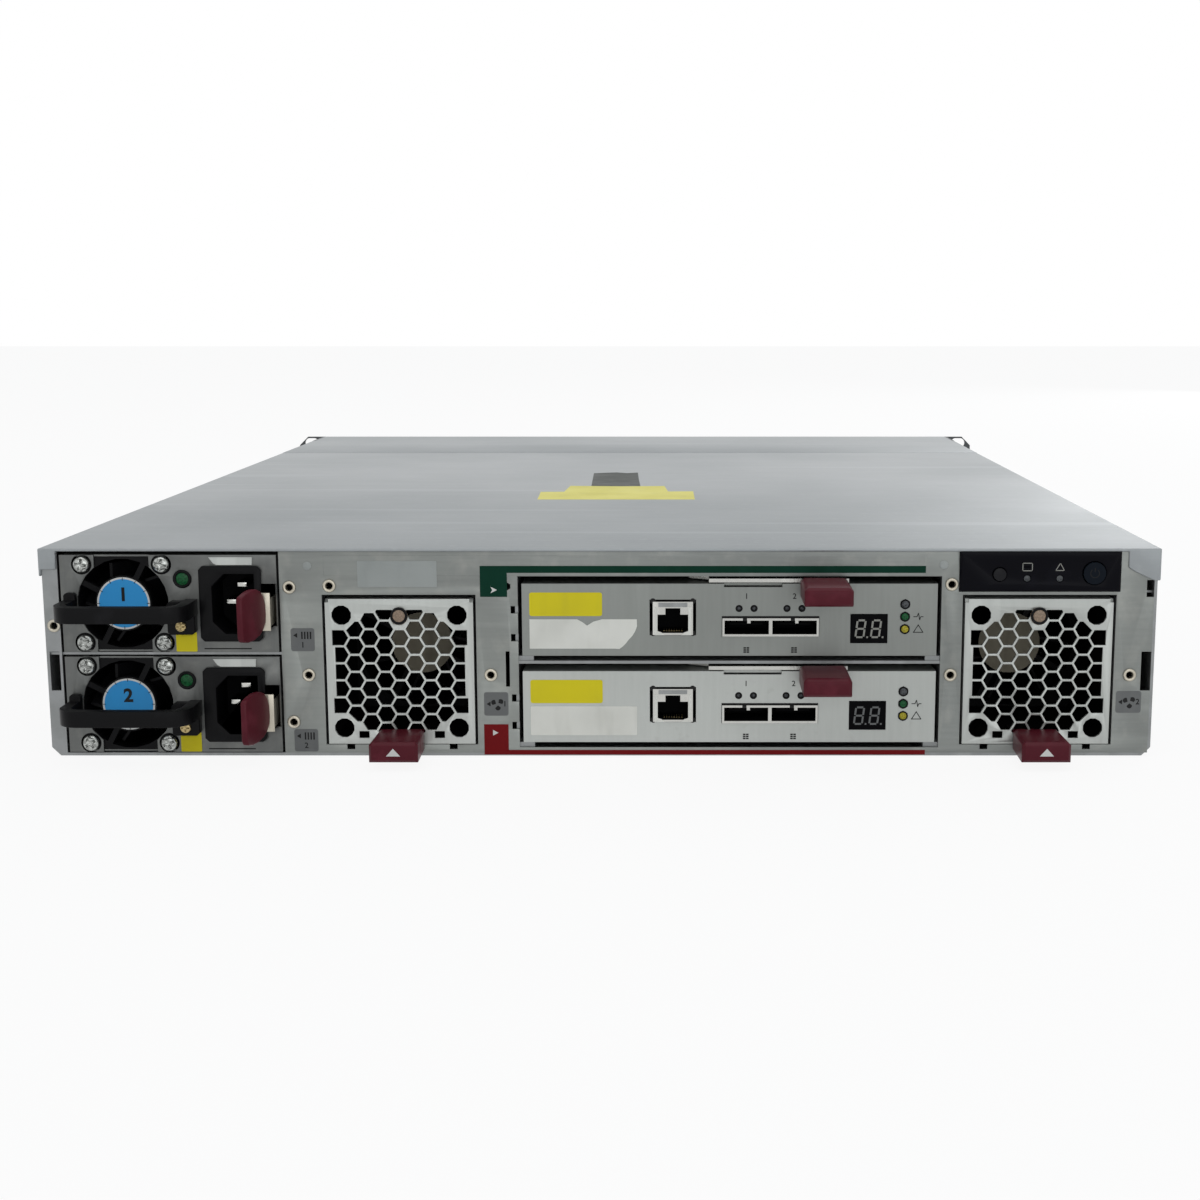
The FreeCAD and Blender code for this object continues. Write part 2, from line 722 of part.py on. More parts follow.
def drive_parts():
    """Carrier, disk, lever and button of the one complete drive."""
    x = bay_x(bay_count - 1)
    low = bay_low + carrier_gap
    high = bay_ceiling - carrier_gap
    front = ear_face_y - bezel_setback
    x0 = x - carrier_width / 2
    x1 = x + carrier_width / 2
    block = box(x0, x1, front, front + bezel_deep, low, high)
    lever_low = low + 8.0
    lever_high = lever_low + drive_lever_height
    button_low = lever_high + 1.5
    bay = box(x0 + 1.4, x1 - 1.4, front + bezel_deep - drive_lever_thick - 0.5, front + bezel_deep + 1,
              lever_low - drive_lever_room, lever_high + 0.5)
    well = box(x0 + 2.0, x1 - 2.0, front + 3.0, front + bezel_deep + 1,
               button_low - 0.4, button_low + drive_button_height + 0.4)
    rear = drive_board_y + board_thick + connector_depth + connector_gap
    rails = [box(x0, x1, rear, front, low, low + carrier_rail),
             box(x0, x1, rear, front, high - carrier_rail, high)]
    pin_y = front + bezel_deep - drive_lever_thick / 2
    pin_z = lever_low
    carrier = join([block.cut(Part.makeCompound([bay, well]))] + rails)
    across = FreeCAD.Vector(carrier_width + 2, 0, 0)
    carrier = carrier.cut(faceted(x0 - 1, pin_y, pin_z, across, drive_lever_pin + shaft_gap, pin_sides, True))
    disk_low = low + carrier_rail + disk_gap
    disk_high = high - carrier_rail - disk_gap
    disk = box(x - disk_thick / 2, x + disk_thick / 2, rear, rear + disk_length, disk_low, disk_high)
    lever = bevelled(x0 + 1.8, x1 - 1.8, front + bezel_deep - drive_lever_thick, front + bezel_deep,
                      lever_low - drive_lever_heel, lever_high, 1.0, "x")
    pin = FreeCAD.Vector(carrier_width - 0.6, 0, 0)
    lever = lever.fuse(faceted(x0 + 0.3, pin_y, pin_z, pin, drive_lever_pin, pin_sides))
    windows = []
    for number in range(4):
        z = lever_low + 8.0 + number * 8.5
        windows.append(box(x - 3.6, x + 3.6, front, front + bezel_deep + 1, z, z + 5.0))
    lever = lever.cut(Part.makeCompound(windows)).removeSplitter()
    button = bevelled(x0 + 2.3, x1 - 2.3, front + 3.0 + drive_travel_room, front + bezel_deep + 1.0,
                       button_low, button_low + drive_button_height, 1.2, "y")
    return carrier, disk, lever, button


# ---------------------------------------------------------------- fans

def fan_pair(x, z, y, side, depth, bore, hub, blades):
    """Square fan with a four-strut stator at the rear; returns the frame and the rotor."""
    half = side / 2
    ring = bevelled(x - half, x + half, y, y + depth, z - half, z + half, fan_corner, "y")
    ring = ring.cut(prism_y(x, z, bore, fan_sides, y - 1, y + depth + 1))
    struts = []
    for number in range(4):
        strut = box(x - strut_half, x + strut_half, y, y + strut_depth, z + hub - 1.5, z + bore + 0.6)
        strut.rotate(FreeCAD.Vector(x, y, z), FreeCAD.Vector(0, 1, 0), strut_turn + 90 * number)
        struts.append(strut)
    disc = prism_y(x, z, hub, fan_sides, y, y + hub_disc)
    frame = join([ring, disc] + struts)
    frame = frame.cut(prism_y(x, z, fan_shaft + shaft_gap, pin_sides, y + 1.0, y + hub_disc + 1))
    start = y + hub_disc + rotor_gap
    end = y + depth - 2.0
    cup = prism_y(x, z, hub - 0.6, knob_sides, start, end)
    axle = faceted(x, y + 1.3, z, FreeCAD.Vector(0, start - y - 1.2, 0), fan_shaft, pin_sides)
    tip = bore - blade_gap
    sweep = 0.9 * 2 * math.pi * hub / blades
    vanes = []
    for number in range(blades):
        bow = []
        for along, across in ((start + 0.5, -sweep / 2), ((start + end) / 2, sweep * 0.12),
                              (end - 1.0, sweep / 2)):
            bow.append(FreeCAD.Vector(x + across, along, z))
        back = [point + FreeCAD.Vector(blade_thick, 0, 0) for point in reversed(bow)]
        section = outline(bow + back)
        section.translate(FreeCAD.Vector(0, 0, hub - 1.2))
        corner = sweep / 2 + blade_thick
        height = math.sqrt(tip * tip - corner * corner)
        vane = section.extrude(FreeCAD.Vector(0, 0, height - hub + 1.2))
        vane.rotate(FreeCAD.Vector(x, y, z), FreeCAD.Vector(0, 1, 0), 360.0 * number / blades)
        vanes.append(vane)
    return frame, join([cup, axle] + vanes)


# ---------------------------------------------------------------- power supplies

def psu_case(z):
    x0 = psu_x
    x1 = psu_x + psu_width
    z1 = z + psu_height
    shell = box(x0, x1, 0, psu_depth, z, z1)
    inner = box(x0 + psu_sheet, x1 - psu_sheet, psu_sheet, psu_depth - psu_sheet,
                z + psu_sheet, z1 - psu_sheet)
    shell = shell.cut(inner)
    fan_x = x0 + psu_fan_x
    fan_mid = z + psu_height / 2
    cuts = [prism_y(fan_x, fan_mid, psu_fan_hole, fan_sides, -1, psu_sheet + 0.1)]
    half = psu_screw_pitch / 2
    for dx in (-half, half):
        for dz in (-half, half):
            cuts.append(prism_y(fan_x + dx, fan_mid + dz, screw_shank + 0.1, hidden_sides,
                                -1, psu_sheet + 0.1))
    cuts.append(prism_y(x0 + lamp_x, z + lamp_z, lamp_hole, pin_sides, -1, psu_sheet + 0.1))
    step = inlet_body_step - seat_gap
    cuts.append(box(x0 + inlet_x + step, x0 + inlet_x + inlet_width - step, -1, psu_sheet + 0.1,
                    z + inlet_z + step, z + inlet_z + inlet_height - step))
    cuts.append(prism_y(x0 + foot_screw_x, z + foot_screw_z, screw_shank + 0.1, hidden_sides, -1,
                        psu_sheet + 0.1))
    arm_x = latch_x()
    cuts.append(box(arm_x + latch_arm - latch_slot_wide, arm_x + latch_arm + run_gap, -1, psu_sheet + 0.1,
                    z + latch_arm_low - 1.0, z + latch_arm_high + 1.0))
    for number in range(4):
        vent_x = x0 + 10 + number * 18.0
        cuts.append(box(vent_x, vent_x + 7.0, psu_depth - 2, psu_depth + 1, z1 - 14.0, z1 - 5.0))
    shell = shell.cut(Part.makeCompound(cuts))
    lugs = []
    for low, high in ((z + latch_arm_low - latch_lug - run_gap, z + latch_arm_low - run_gap),
                      (z + latch_arm_high + run_gap, z + latch_arm_high + latch_lug + run_gap)):
        eye = latch_barrel + shaft_gap
        pivot_x = arm_x + latch_arm / 2
        lug = box(arm_x - 2.0, x1 - psu_sheet, latch_pivot_y - 3, latch_pivot_y + 3, low, high)
        lugs.append(lug.cut(box(pivot_x - eye, pivot_x + eye, latch_pivot_y - eye, latch_pivot_y + eye,
                                low - 1, high + 1)))
    middle = x0 + psu_width / 2
    card = box(middle - edge_width / 2, middle + edge_width / 2, psu_depth - psu_sheet,
               psu_depth + edge_length - 1, fan_mid - edge_height / 2, fan_mid + edge_height / 2)
    tab_x = x0 + inlet_x + 4.4
    flap = box(tab_x, tab_x + 16.0, -1.0, 0, z + inlet_z + inlet_height + 0.3, z1 - 1.6)
    return join([shell, card, flap] + lugs)


def latch_x():
    """Left face of the release arm."""
    return psu_x + psu_width - latch_pivot_inset - latch_arm / 2


def psu_inlet(z):
    x0 = psu_x + inlet_x
    x1 = x0 + inlet_width
    z0 = z + inlet_z
    z1 = z0 + inlet_height
    flange = bevelled(x0, x1, -inlet_flange, 0, z0, z1, 1.5, "y")
    step = inlet_body_step
    body = box(x0 + step, x1 - step, 0, inlet_depth, z0 + step, z1 - step)
    housing = flange.fuse(body)
    cx = (x0 + x1) / 2 + socket_offset
    cz = (z0 + z1) / 2
    left = cx - socket_width / 2
    right = cx + socket_width / 2
    low = cz - socket_height / 2
    high = cz + socket_height / 2
    c = socket_corner
    mouth = outline([FreeCAD.Vector(left + c, 0, low), FreeCAD.Vector(right, 0, low),
                     FreeCAD.Vector(right, 0, high), FreeCAD.Vector(left + c, 0, high),
                     FreeCAD.Vector(left, 0, high - c), FreeCAD.Vector(left, 0, low + c)])
    mouth.translate(FreeCAD.Vector(0, -inlet_flange - 1, 0))
    housing = housing.cut(mouth.extrude(FreeCAD.Vector(0, inlet_flange + 1 + socket_depth, 0)))
    pins = []
    for px, pz in ((cx + pin_offset / 2, cz + pin_pitch / 2), (cx + pin_offset / 2, cz - pin_pitch / 2),
                   (cx - pin_offset / 2, cz)):
        pins.append(box(px - pin_wide / 2, px + pin_wide / 2, pin_start, socket_depth,
                        pz - pin_thick / 2, pz + pin_thick / 2))
    return Part.makeCompound([housing.removeSplitter()] + pins)


def psu_handle(z):
    x0 = psu_x + handle_inset
    x1 = x0 + handle_span
    low = z + handle_z - handle_tall / 2
    outer = box(x0, x1, -handle_reach, 0, 0, handle_tall)
    bends = [edge for edge in outer.Edges
             if edge.BoundBox.ZLength > handle_tall / 2 and edge.BoundBox.YMax < -handle_reach + 1e-6]
    outer = outer.makeFillet(handle_bend, bends)
    inner = box(x0 + handle_strap, x1 - handle_strap, -handle_reach + handle_strap, 1, -1, handle_tall + 1)
    bends = [edge for edge in inner.Edges
             if edge.BoundBox.ZLength > handle_tall and edge.BoundBox.YMax < -handle_reach / 2]
    hoop = outer.cut(inner.makeFillet(handle_bend - handle_strap, bends))
    hoop.translate(FreeCAD.Vector(0, 0, low))
    foot_x0 = psu_x + foot_screw_x - foot_width / 2
    foot = bevelled(foot_x0, foot_x0 + foot_width, -foot_thick, 0, z + foot_screw_z - 3.4,
                    z + handle_z + handle_tall / 2 - 0.6, 1.0, "y")
    left_foot = bevelled(x0, x0 + handle_strap, -3.0, 0, low - 2.6, low + handle_tall + 2.6, 0.8, "y")
    handle = join([hoop, foot, left_foot])
    return handle.cut(prism_y(psu_x + foot_screw_x, z + foot_screw_z, screw_shank + 0.05, hidden_sides,
                              -foot_thick - 1, 1))


def pan_screw(x, z, y, head, height, length):
    """Flat-topped head that faces the rear, on a plain shank."""
    crown = prism_y(x, z, head, head_sides, y - height, y)
    return crown.fuse(prism_y(x, z, screw_core, 6, y, y + length)).removeSplitter()


def psu_screws(z):
    fan_x = psu_x + psu_fan_x
    fan_mid = z + psu_height / 2
    half = psu_screw_pitch / 2
    screws = []
    for dx in (-half, half):
        for dz in (-half, half):
            screws.append(pan_screw(fan_x + dx, fan_mid + dz, 0, screw_head, screw_head_height, screw_length))
    screws.append(pan_screw(psu_x + foot_screw_x, z + foot_screw_z, -foot_thick, foot_screw_head,
                              1.2, foot_thick + 3.0))
    return Part.makeCompound(screws)


def psu_latch(z):
    x0 = latch_x()
    x1 = x0 + latch_arm
    middle = (x0 + x1) / 2
    outer_y = -latch_plate_y - latch_plate_thick
    arm = box(x0, x1, outer_y, latch_pivot_y, z + latch_arm_low, z + latch_arm_high)
    barrel_low = z + latch_arm_low - latch_lug - run_gap
    upright = FreeCAD.Vector(0, 0, z + latch_arm_high + latch_lug + run_gap - barrel_low)
    barrel = faceted(middle, latch_pivot_y, barrel_low, upright, latch_barrel, pin_sides)
    plate = box(x1 - latch_plate_wide, x1, outer_y, -latch_plate_y, z + latch_plate_low, z + latch_plate_high)
    spring = join([arm, barrel, plate])
    low = z + paddle_low
    high = z + paddle_high
    tip_y = outer_y - paddle_reach
    side = Part.Face(Part.makePolygon([FreeCAD.Vector(0, outer_y, low), FreeCAD.Vector(0, tip_y, low),
                                       FreeCAD.Vector(0, tip_y, high), FreeCAD.Vector(0, outer_y, high),
                                       FreeCAD.Vector(0, outer_y, low)]))
    blade = side.extrude(FreeCAD.Vector(paddle_thick, 0, 0))
    corners = [edge for edge in blade.Edges if edge.BoundBox.XLength > paddle_thick * 0.9
               and edge.BoundBox.YMax < tip_y + 1e-6]
    blade = blade.makeFillet(paddle_round, corners)
    lean = FreeCAD.Matrix()
    lean.A12 = paddle_lean / paddle_reach
    lean.A14 = x1 - latch_plate_wide * 0.5 - paddle_thick / 2 - outer_y * paddle_lean / paddle_reach
    blade = blade.transformGeometry(lean)
    return Part.makeCompound([spring, blade])


# ---------------------------------------------------------------- fan modules

def hex_cells(x, z):
    """Honeycomb cutter: hexagons in nine columns, clipped to an eight-sided field."""
    radius = hex_flats / math.sqrt(3)
    column_pitch = hex_pitch * math.cos(math.pi / 6)
    cells = []
    for column in range(-4, 5):
        shift = 0.0
        if column % 2:
            shift = hex_pitch / 2
        for row in range(-4, 5):
            cx = column * column_pitch
            cz = row * hex_pitch + shift
            if abs(cx) + abs(cz) > hex_corner_clip + 1.0 or abs(cz) > hex_top_clip:
                continue
            if column == 0 and cz > guide_rise - hex_pitch:
                continue
            ring = []
            for corner in range(6):
                angle = corner * math.pi / 3
                ring.append(FreeCAD.Vector(x + cx + radius * math.cos(angle), 0,
                                           z + cz + radius * math.sin(angle)))
            cells.append(outline(ring))
    a = hex_side_clip
    b = hex_top_clip
    c = hex_corner_clip
    field = outline([FreeCAD.Vector(x + sx, 0, z + sz) for sx, sz in
                     ((a, c - a), (c - b, b), (b - c, b), (-a, c - a), (-a, a - c), (b - c, -b), (c - b, -b),
                      (a, a - c))])
    clipped = field.common(Part.makeCompound(cells))
    prisms = []
    for face in clipped.Faces:
        if face.Area > 2.0:
            prism = face.extrude(FreeCAD.Vector(0, fan_face + 2, 0))
            prism.translate(FreeCAD.Vector(0, -1, 0))
            prisms.append(prism)
    return prisms


def fan_housing(x):
    half = fan_width / 2
    z0 = fan_z
    z1 = fan_z + fan_height
    middle = (z0 + z1) / 2
    sleeve = box(x - half, x + half, 0, fan_module_depth, z0, z1)
    inner = box(x - half + fan_sheet, x + half - fan_sheet, fan_face, fan_module_depth + 1,
                z0 + fan_sheet, z1 - fan_sheet)
    sleeve = sleeve.cut(inner)
    cuts = hex_cells(x, middle)
    reach = corner_pitch / 2
    for dx in (-reach, reach):
        for dz in (-reach, reach):
            cuts.append(prism_y(x + dx, middle + dz, corner_hole, 12, -1, fan_face + 1))
        cuts.append(box(x + dx * slot_pair / corner_pitch - slot_pair_width / 2,
                        x + dx * slot_pair / corner_pitch + slot_pair_width / 2, -1, fan_face + 1,
                        z0 + slot_pair_z - slot_pair_height / 2, z0 + slot_pair_z + slot_pair_height / 2))
    cuts.append(prism_y(x, middle + guide_rise, guide_radius - 0.9, hidden_sides, -1, fan_face + 1))
    cuts.append(box(x - stem_half - 0.6, x + stem_half + 0.6, -1, fan_face + 1,
                    stem_low - 0.4, stem_high + stem_slot_gap))
    sleeve = sleeve.cut(Part.makeCompound(cuts))
    ears = []
    pivot_z = (stem_low + stem_high) / 2
    for side in (-1, 1):
        low, high = sorted((x + side * (fan_barrel_half - fan_ear), x + side * fan_barrel_half))
        ear = box(low, high, fan_face, fan_pivot_y + 3.0, z0 + fan_sheet, pivot_z + 3.0)
        eye = fan_barrel + shaft_gap
        ears.append(ear.cut(box(low - 1, high + 1, fan_pivot_y - eye, fan_pivot_y + eye,
                                pivot_z - eye, pivot_z + eye)))
    return join([sleeve] + ears)


def fan_latch(x):
    pivot_z = (stem_low + stem_high) / 2
    stem = box(x - stem_half, x + stem_half, -grip_start - 1, fan_pivot_y, stem_low, stem_high)
    barrel = faceted(x - fan_barrel_half, fan_pivot_y, pivot_z, FreeCAD.Vector(2 * fan_barrel_half, 0, 0),
                     fan_barrel, pin_sides)
    root = grip_root / 2
    tip = grip_tip / 2
    corners = ((-root, grip_start), (root, grip_start), (tip, grip_reach), (-tip, grip_reach))
    plan = outline([FreeCAD.Vector(x + across, -out, grip_low) for across, out in corners])
    grip = plan.extrude(FreeCAD.Vector(0, 0, grip_high - grip_low))
    hollow = box(x - root + grip_wall, x + root - grip_wall, -grip_reach + grip_wall, -grip_start + 1,
                 grip_low - 1, grip_low + grip_hollow)
    rims = [edge for edge in grip.Edges if edge.BoundBox.YMax < -grip_reach + 1e-6
            or (edge.BoundBox.ZMin > grip_high - 1e-6 and edge.BoundBox.YLength > 1)]
    grip = grip.makeChamfer(grip_edge, rims)
    return join([grip.cut(hollow), stem, barrel])


def light_guide(x):
    z = fan_z + fan_height / 2 + guide_rise
    head = prism_y(x, z, guide_radius, knob_sides, -guide_proud, 0)
    stem = prism_y(x, z, guide_radius - 1.0, hidden_sides, 0, 2.6)
    return head.fuse(stem).removeSplitter()


# ---------------------------------------------------------------- I/O modules

def io_case(z):
    x0 = io_x
    x1 = io_x + io_width
    z1 = z + io_height
    face = box(x0, x1, 0, io_face, z, z1)
    floor = box(x0, x1, io_face, io_depth, z, z + io_sheet)
    left = box(x0, x0 + io_sheet, io_face, io_depth, z + io_sheet, z1)
    right = box(x1 - io_sheet, x1, io_face, io_depth, z + io_sheet, z1)
    hem = box(x0 + io_sheet, x1 - io_sheet, io_face, io_hem_depth, z1 - io_sheet, z1)
    cuts = [box(x0 + jack_x, x0 + jack_x + jack_width, -1, io_face + 1,
                z + jack_low, z + jack_low + jack_height)]
    cuts.append(box(x0 + cage_x, x0 + cage_x + cage_width, -1, io_face + 1,
                    z + cage_low, z + cage_low + cage_height))
    for x in light_places():
        cuts.append(prism_y(x, z + light_low, light_radius, hidden_sides, -1, io_face + 1))
    dx1 = x1 - display_inset
    cuts.append(box(dx1 - display_width, dx1, -1, io_face + 1,
                    z + display_low, z + display_low + display_height))
    for number in range(3):
        cuts.append(prism_y(x1 - status_inset, z + status_low + number * status_step, status_radius,
                            hidden_sides, -1, io_face + 1))
    upright = FreeCAD.Vector(0, 0, io_sheet + 2)
    cuts.append(faceted(x0 + lever_pivot_x, lever_pivot_y, z1 - io_sheet - 1, upright,
                        lever_pin + shaft_gap, pin_sides, True))
    cuts.append(box(x0 + lever_pivot_x + 1.0, x0 + lever_pivot_x + 24.4, -1, io_face + 1, z1 - 1.4, z1 + 1))
    tray = join([face, floor, left, right, hem]).cut(Part.makeCompound(cuts))
    return tray.removeSplitter()


def light_places():
    """X of the four port lights: a pair over each port."""
    places = []
    for number in range(2):
        middle = io_x + cage_x + cage_width / 2 + (number - 0.5) * (port_width + port_bridge)
        places += [middle - light_pair / 2, middle + light_pair / 2]
    return places


def io_board(z):
    board = box(io_x + io_sheet + 1.0, io_x + io_width - io_sheet - 1.0, io_hem_depth + 2.0, io_depth + 1.5,
                z + board_rise, z + board_rise + board_thick)
    top = z + board_rise + board_thick
    chips = []
    for share_x, share_y, side, tall in chip_places:
        x = io_x + share_x * io_width
        y = share_y * io_depth
        chips.append(box(x - side / 2, x + side / 2, y - side / 2, y + side / 2, top, top + tall))
    feet = []
    for x in (io_x + 12.0, io_x + io_width - 12.0):
        for y in (40.0, io_depth - 20.0):
            feet.append(box(x - 2.5, x + 2.5, y - 2.5, y + 2.5, z + io_sheet, z + board_rise))
    return join([board] + chips + feet)


def sas_cage(z):
    x0 = io_x + cage_x + seat_gap
    x1 = io_x + cage_x + cage_width - seat_gap
    z0 = z + cage_low + seat_gap
    z1 = z + cage_low + cage_height - seat_gap
    cage = box(x0, x1, -cage_proud, cage_depth, z0, z1)
    mouths = []
    tongues = []
    for number in range(2):
        middle = (x0 + x1) / 2 + (number - 0.5) * (port_width + port_bridge)
        low = z0 + port_low
        mouths.append(box(middle - port_width / 2, middle + port_width / 2, -cage_proud - 1, port_depth,
                          low, low + port_height))
        tongues.append(box(middle - port_width / 2 + 2, middle + port_width / 2 - 2,
                           tongue_start, port_depth + 0.5, low + tongue_low, low + tongue_low + tongue_thick))
    return join([cage.cut(Part.makeCompound(mouths))] + tongues)


def network_jack(z):
    x0 = io_x + jack_x + shield_inset
    x1 = io_x + jack_x + jack_width - shield_inset
    z0 = z + jack_low + seat_gap
    z1 = z + jack_low + jack_height - seat_gap - 0.6
    shield = box(x0, x1, -0.6, shield_depth, z0, z1)
    middle = (x0 + x1) / 2
    mouth = box(middle - jack_mouth / 2, middle + jack_mouth / 2, -2, jack_mouth_depth,
                z0 + 0.8, z0 + 0.8 + jack_mouth_height - 2.6)
    key = box(middle - jack_key / 2, middle + jack_key / 2, -2, jack_mouth_depth,
              z0 + 0.8, z0 + 0.8 + jack_mouth_height)
    return shield.cut(mouth.fuse(key))


def io_indicators(z):
    x1 = io_x + io_width
    dx1 = x1 - display_inset
    window = box(dx1 - display_width + seat_gap, dx1 - seat_gap, -0.4, 6.0,
                 z + display_low + seat_gap, z + display_low + display_height - seat_gap)
    lamps = [window]
    for number in range(3):
        lamps.append(prism_y(x1 - status_inset, z + status_low + number * status_step, status_radius - 0.05,
                             hidden_sides, -0.2, 6.0))
    return Part.makeCompound(lamps)


def io_lever(z):
    px = io_x + lever_pivot_x
    py = lever_pivot_y
    z0 = z + io_height + lever_lift
    eye = faceted(px, py, z0, FreeCAD.Vector(0, 0, lever_sheet), lever_eye, knob_sides)
    y0 = 0.2
    strip = box(px - lever_eye, px + lever_span, y0, y0 + lever_bar, z0, z0 + lever_sheet)
    tongue_x = px + lever_span - 4.0 - tongue_width
    tongue = box(tongue_x, tongue_x + tongue_width, -lever_grip_reach + 5, y0 + 2, z0, z0 + lever_sheet)
    cam = outline([FreeCAD.Vector(px - 2, py - 3, z0), FreeCAD.Vector(px - 2, py + 4.5, z0),
                   FreeCAD.Vector(px - lever_cam, py + 6.5, z0),
                   FreeCAD.Vector(px - lever_cam - 2, py + 2.5, z0)])
    cam = cam.extrude(FreeCAD.Vector(0, 0, lever_sheet))
    upright = FreeCAD.Vector(0, 0, lever_pin_length + 0.1)
    pin = faceted(px, py, z0 - lever_pin_length, upright, lever_pin, pin_sides)
    return join([eye, strip, tongue, cam, pin])


def io_grip(z):
    px = io_x + lever_pivot_x
    z0 = z + io_height + lever_lift
    tongue_x = px + lever_span - 4.0 - tongue_width
    middle = tongue_x + tongue_width / 2
    half = lever_grip_width / 2
    top = z0 + lever_sheet + 0.6
    grip = box(middle - half, middle + half, -lever_grip_reach, -1.2, top - lever_grip_height, top)
    rims = [edge for edge in grip.Edges if edge.BoundBox.YMax < -lever_grip_reach + 1e-6
            or (edge.BoundBox.ZMin > top - 1e-6 and edge.BoundBox.YLength > 1)]
    grip = grip.makeChamfer(lever_grip_edge, rims)
    under = box(middle - half + 2.0, middle + half - 2.0, -lever_grip_reach + 2.4, 1,
                top - lever_grip_height - 1, z0 - 1.2)
    slot = box(tongue_x, tongue_x + tongue_width, -lever_grip_reach + 5, 1, z0, z0 + lever_sheet)
    return grip.cut(Part.makeCompound([under, slot]))


# ---------------------------------------------------------------- control panel

def control_bezel():
    x1 = bezel_x + bezel_width
    z1 = bezel_z + bezel_height
    plate = box(bezel_x, x1, -bezel_plate, 0, bezel_z, min(z1, cover_z))
    rims = [edge for edge in plate.Edges if edge.BoundBox.YMax < -bezel_plate + 1e-6]
    plate = plate.makeChamfer(bezel_edge, rims)
    inset = bezel_body_inset
    body = box(bezel_x + inset, x1 - inset, 0, bezel_body_depth, bezel_z + inset, cover_z - seat_gap)
    bezel = plate.fuse(body)
    cuts = []
    for x, z, radius in ((uid_x, uid_z, uid_radius), (power_x, power_z, power_radius)):
        cuts.append(prism_y(bezel_x + x, bezel_z + z, radius + button_gap, knob_sides, -bezel_plate - 1,
                            bezel_body_depth + 1))
    for number in range(2):
        cuts.append(prism_y(bezel_x + panel_light_x + number * panel_light_step, bezel_z + panel_light_z,
                            panel_light_radius, hidden_sides, -bezel_plate - 1, 2.0))
    return bezel.cut(Part.makeCompound(cuts)).removeSplitter()


def push_button(x, z, radius):
    return prism_y(x, z, radius, knob_sides, -bezel_plate - button_proud, bezel_body_depth - 0.5)


# ---------------------------------------------------------------- all pieces

def build():
    place("chassis_pan", chassis_pan())
    place("rear_panel", rear_panel())
    place("threaded_inserts", threaded_inserts())
    place("top_cover", top_cover())
    place("rack_ears", rack_ears())
    place("thumbscrew_left", thumbscrew(-1))
    place("thumbscrew_right", thumbscrew(1))
    place("bay_walls", bay_walls())
    place("rear_backplane", rear_backplane())
    place("rear_connectors", rear_connectors())
    place("bridge_board", bridge_board())
    place("drive_backplane", drive_backplane())
    place("drive_connectors", drive_connectors())
    place("drive_cage", drive_cage())
    place("drive_blanks", drive_blanks())
    carrier, disk, lever, button = drive_parts()
    place("drive_carrier", carrier)
    place("disk_drive", disk)
    place("drive_lever", lever)
    place("drive_button", button)
    for number, z in ((1, psu_high_z), (2, psu_low_z)):
        name = "psu_%d_" % number
        frame, rotor = fan_pair(psu_x + psu_fan_x, z + psu_height / 2, psu_sheet,
                                psu_height - 2 * psu_sheet - 0.2, psu_fan_depth, psu_fan_bore, psu_fan_hub, 5)
        half = psu_screw_pitch / 2
        holes = [prism_y(psu_x + psu_fan_x + dx, z + psu_height / 2 + dz, screw_shank, hidden_sides,
                         0, screw_length + 2)
                 for dx in (-half, half) for dz in (-half, half)]
        place(name + "case", psu_case(z))
        place(name + "fan_frame", frame.cut(Part.makeCompound(holes)))
        place(name + "fan_rotor", rotor)
        place(name + "inlet", psu_inlet(z))
        place(name + "handle", psu_handle(z))
        place(name + "screws", psu_screws(z))
        place(name + "latch", psu_latch(z))
    for number, x in ((1, fan_1_x), (2, fan_2_x)):
        name = "fan_%d_" % number
        side = fan_width - 2 * fan_sheet - 2 * fan_frame_gap
        frame, rotor = fan_pair(x, fan_z + fan_height / 2, fan_frame_y, side, fan_frame_depth, fan_bore,
                                fan_hub, 7)
        place(name + "housing", fan_housing(x))
        place(name + "frame", frame)
        place(name + "rotor", rotor)
        place(name + "latch", fan_latch(x))
        place(name + "light_guide", light_guide(x))
    for letter, z in (("a", io_high_z), ("b", io_low_z)):
        name = "io_" + letter + "_"
        place(name + "case", io_case(z))
        place(name + "board", io_board(z))
        place(name + "sas_cage", sas_cage(z))
        place(name + "network_jack", network_jack(z))
        place(name + "indicators", io_indicators(z))
        place(name + "lever", io_lever(z))
        place(name + "grip", io_grip(z))
    place("control_bezel", control_bezel())
    place("uid_button", push_button(bezel_x + uid_x, bezel_z + uid_z, uid_radius))
    place("power_button", push_button(bezel_x + power_x, bezel_z + power_z, power_radius))


build()
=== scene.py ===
import json
import math
import random

import bmesh
import bpy
from mathutils import Matrix, Vector

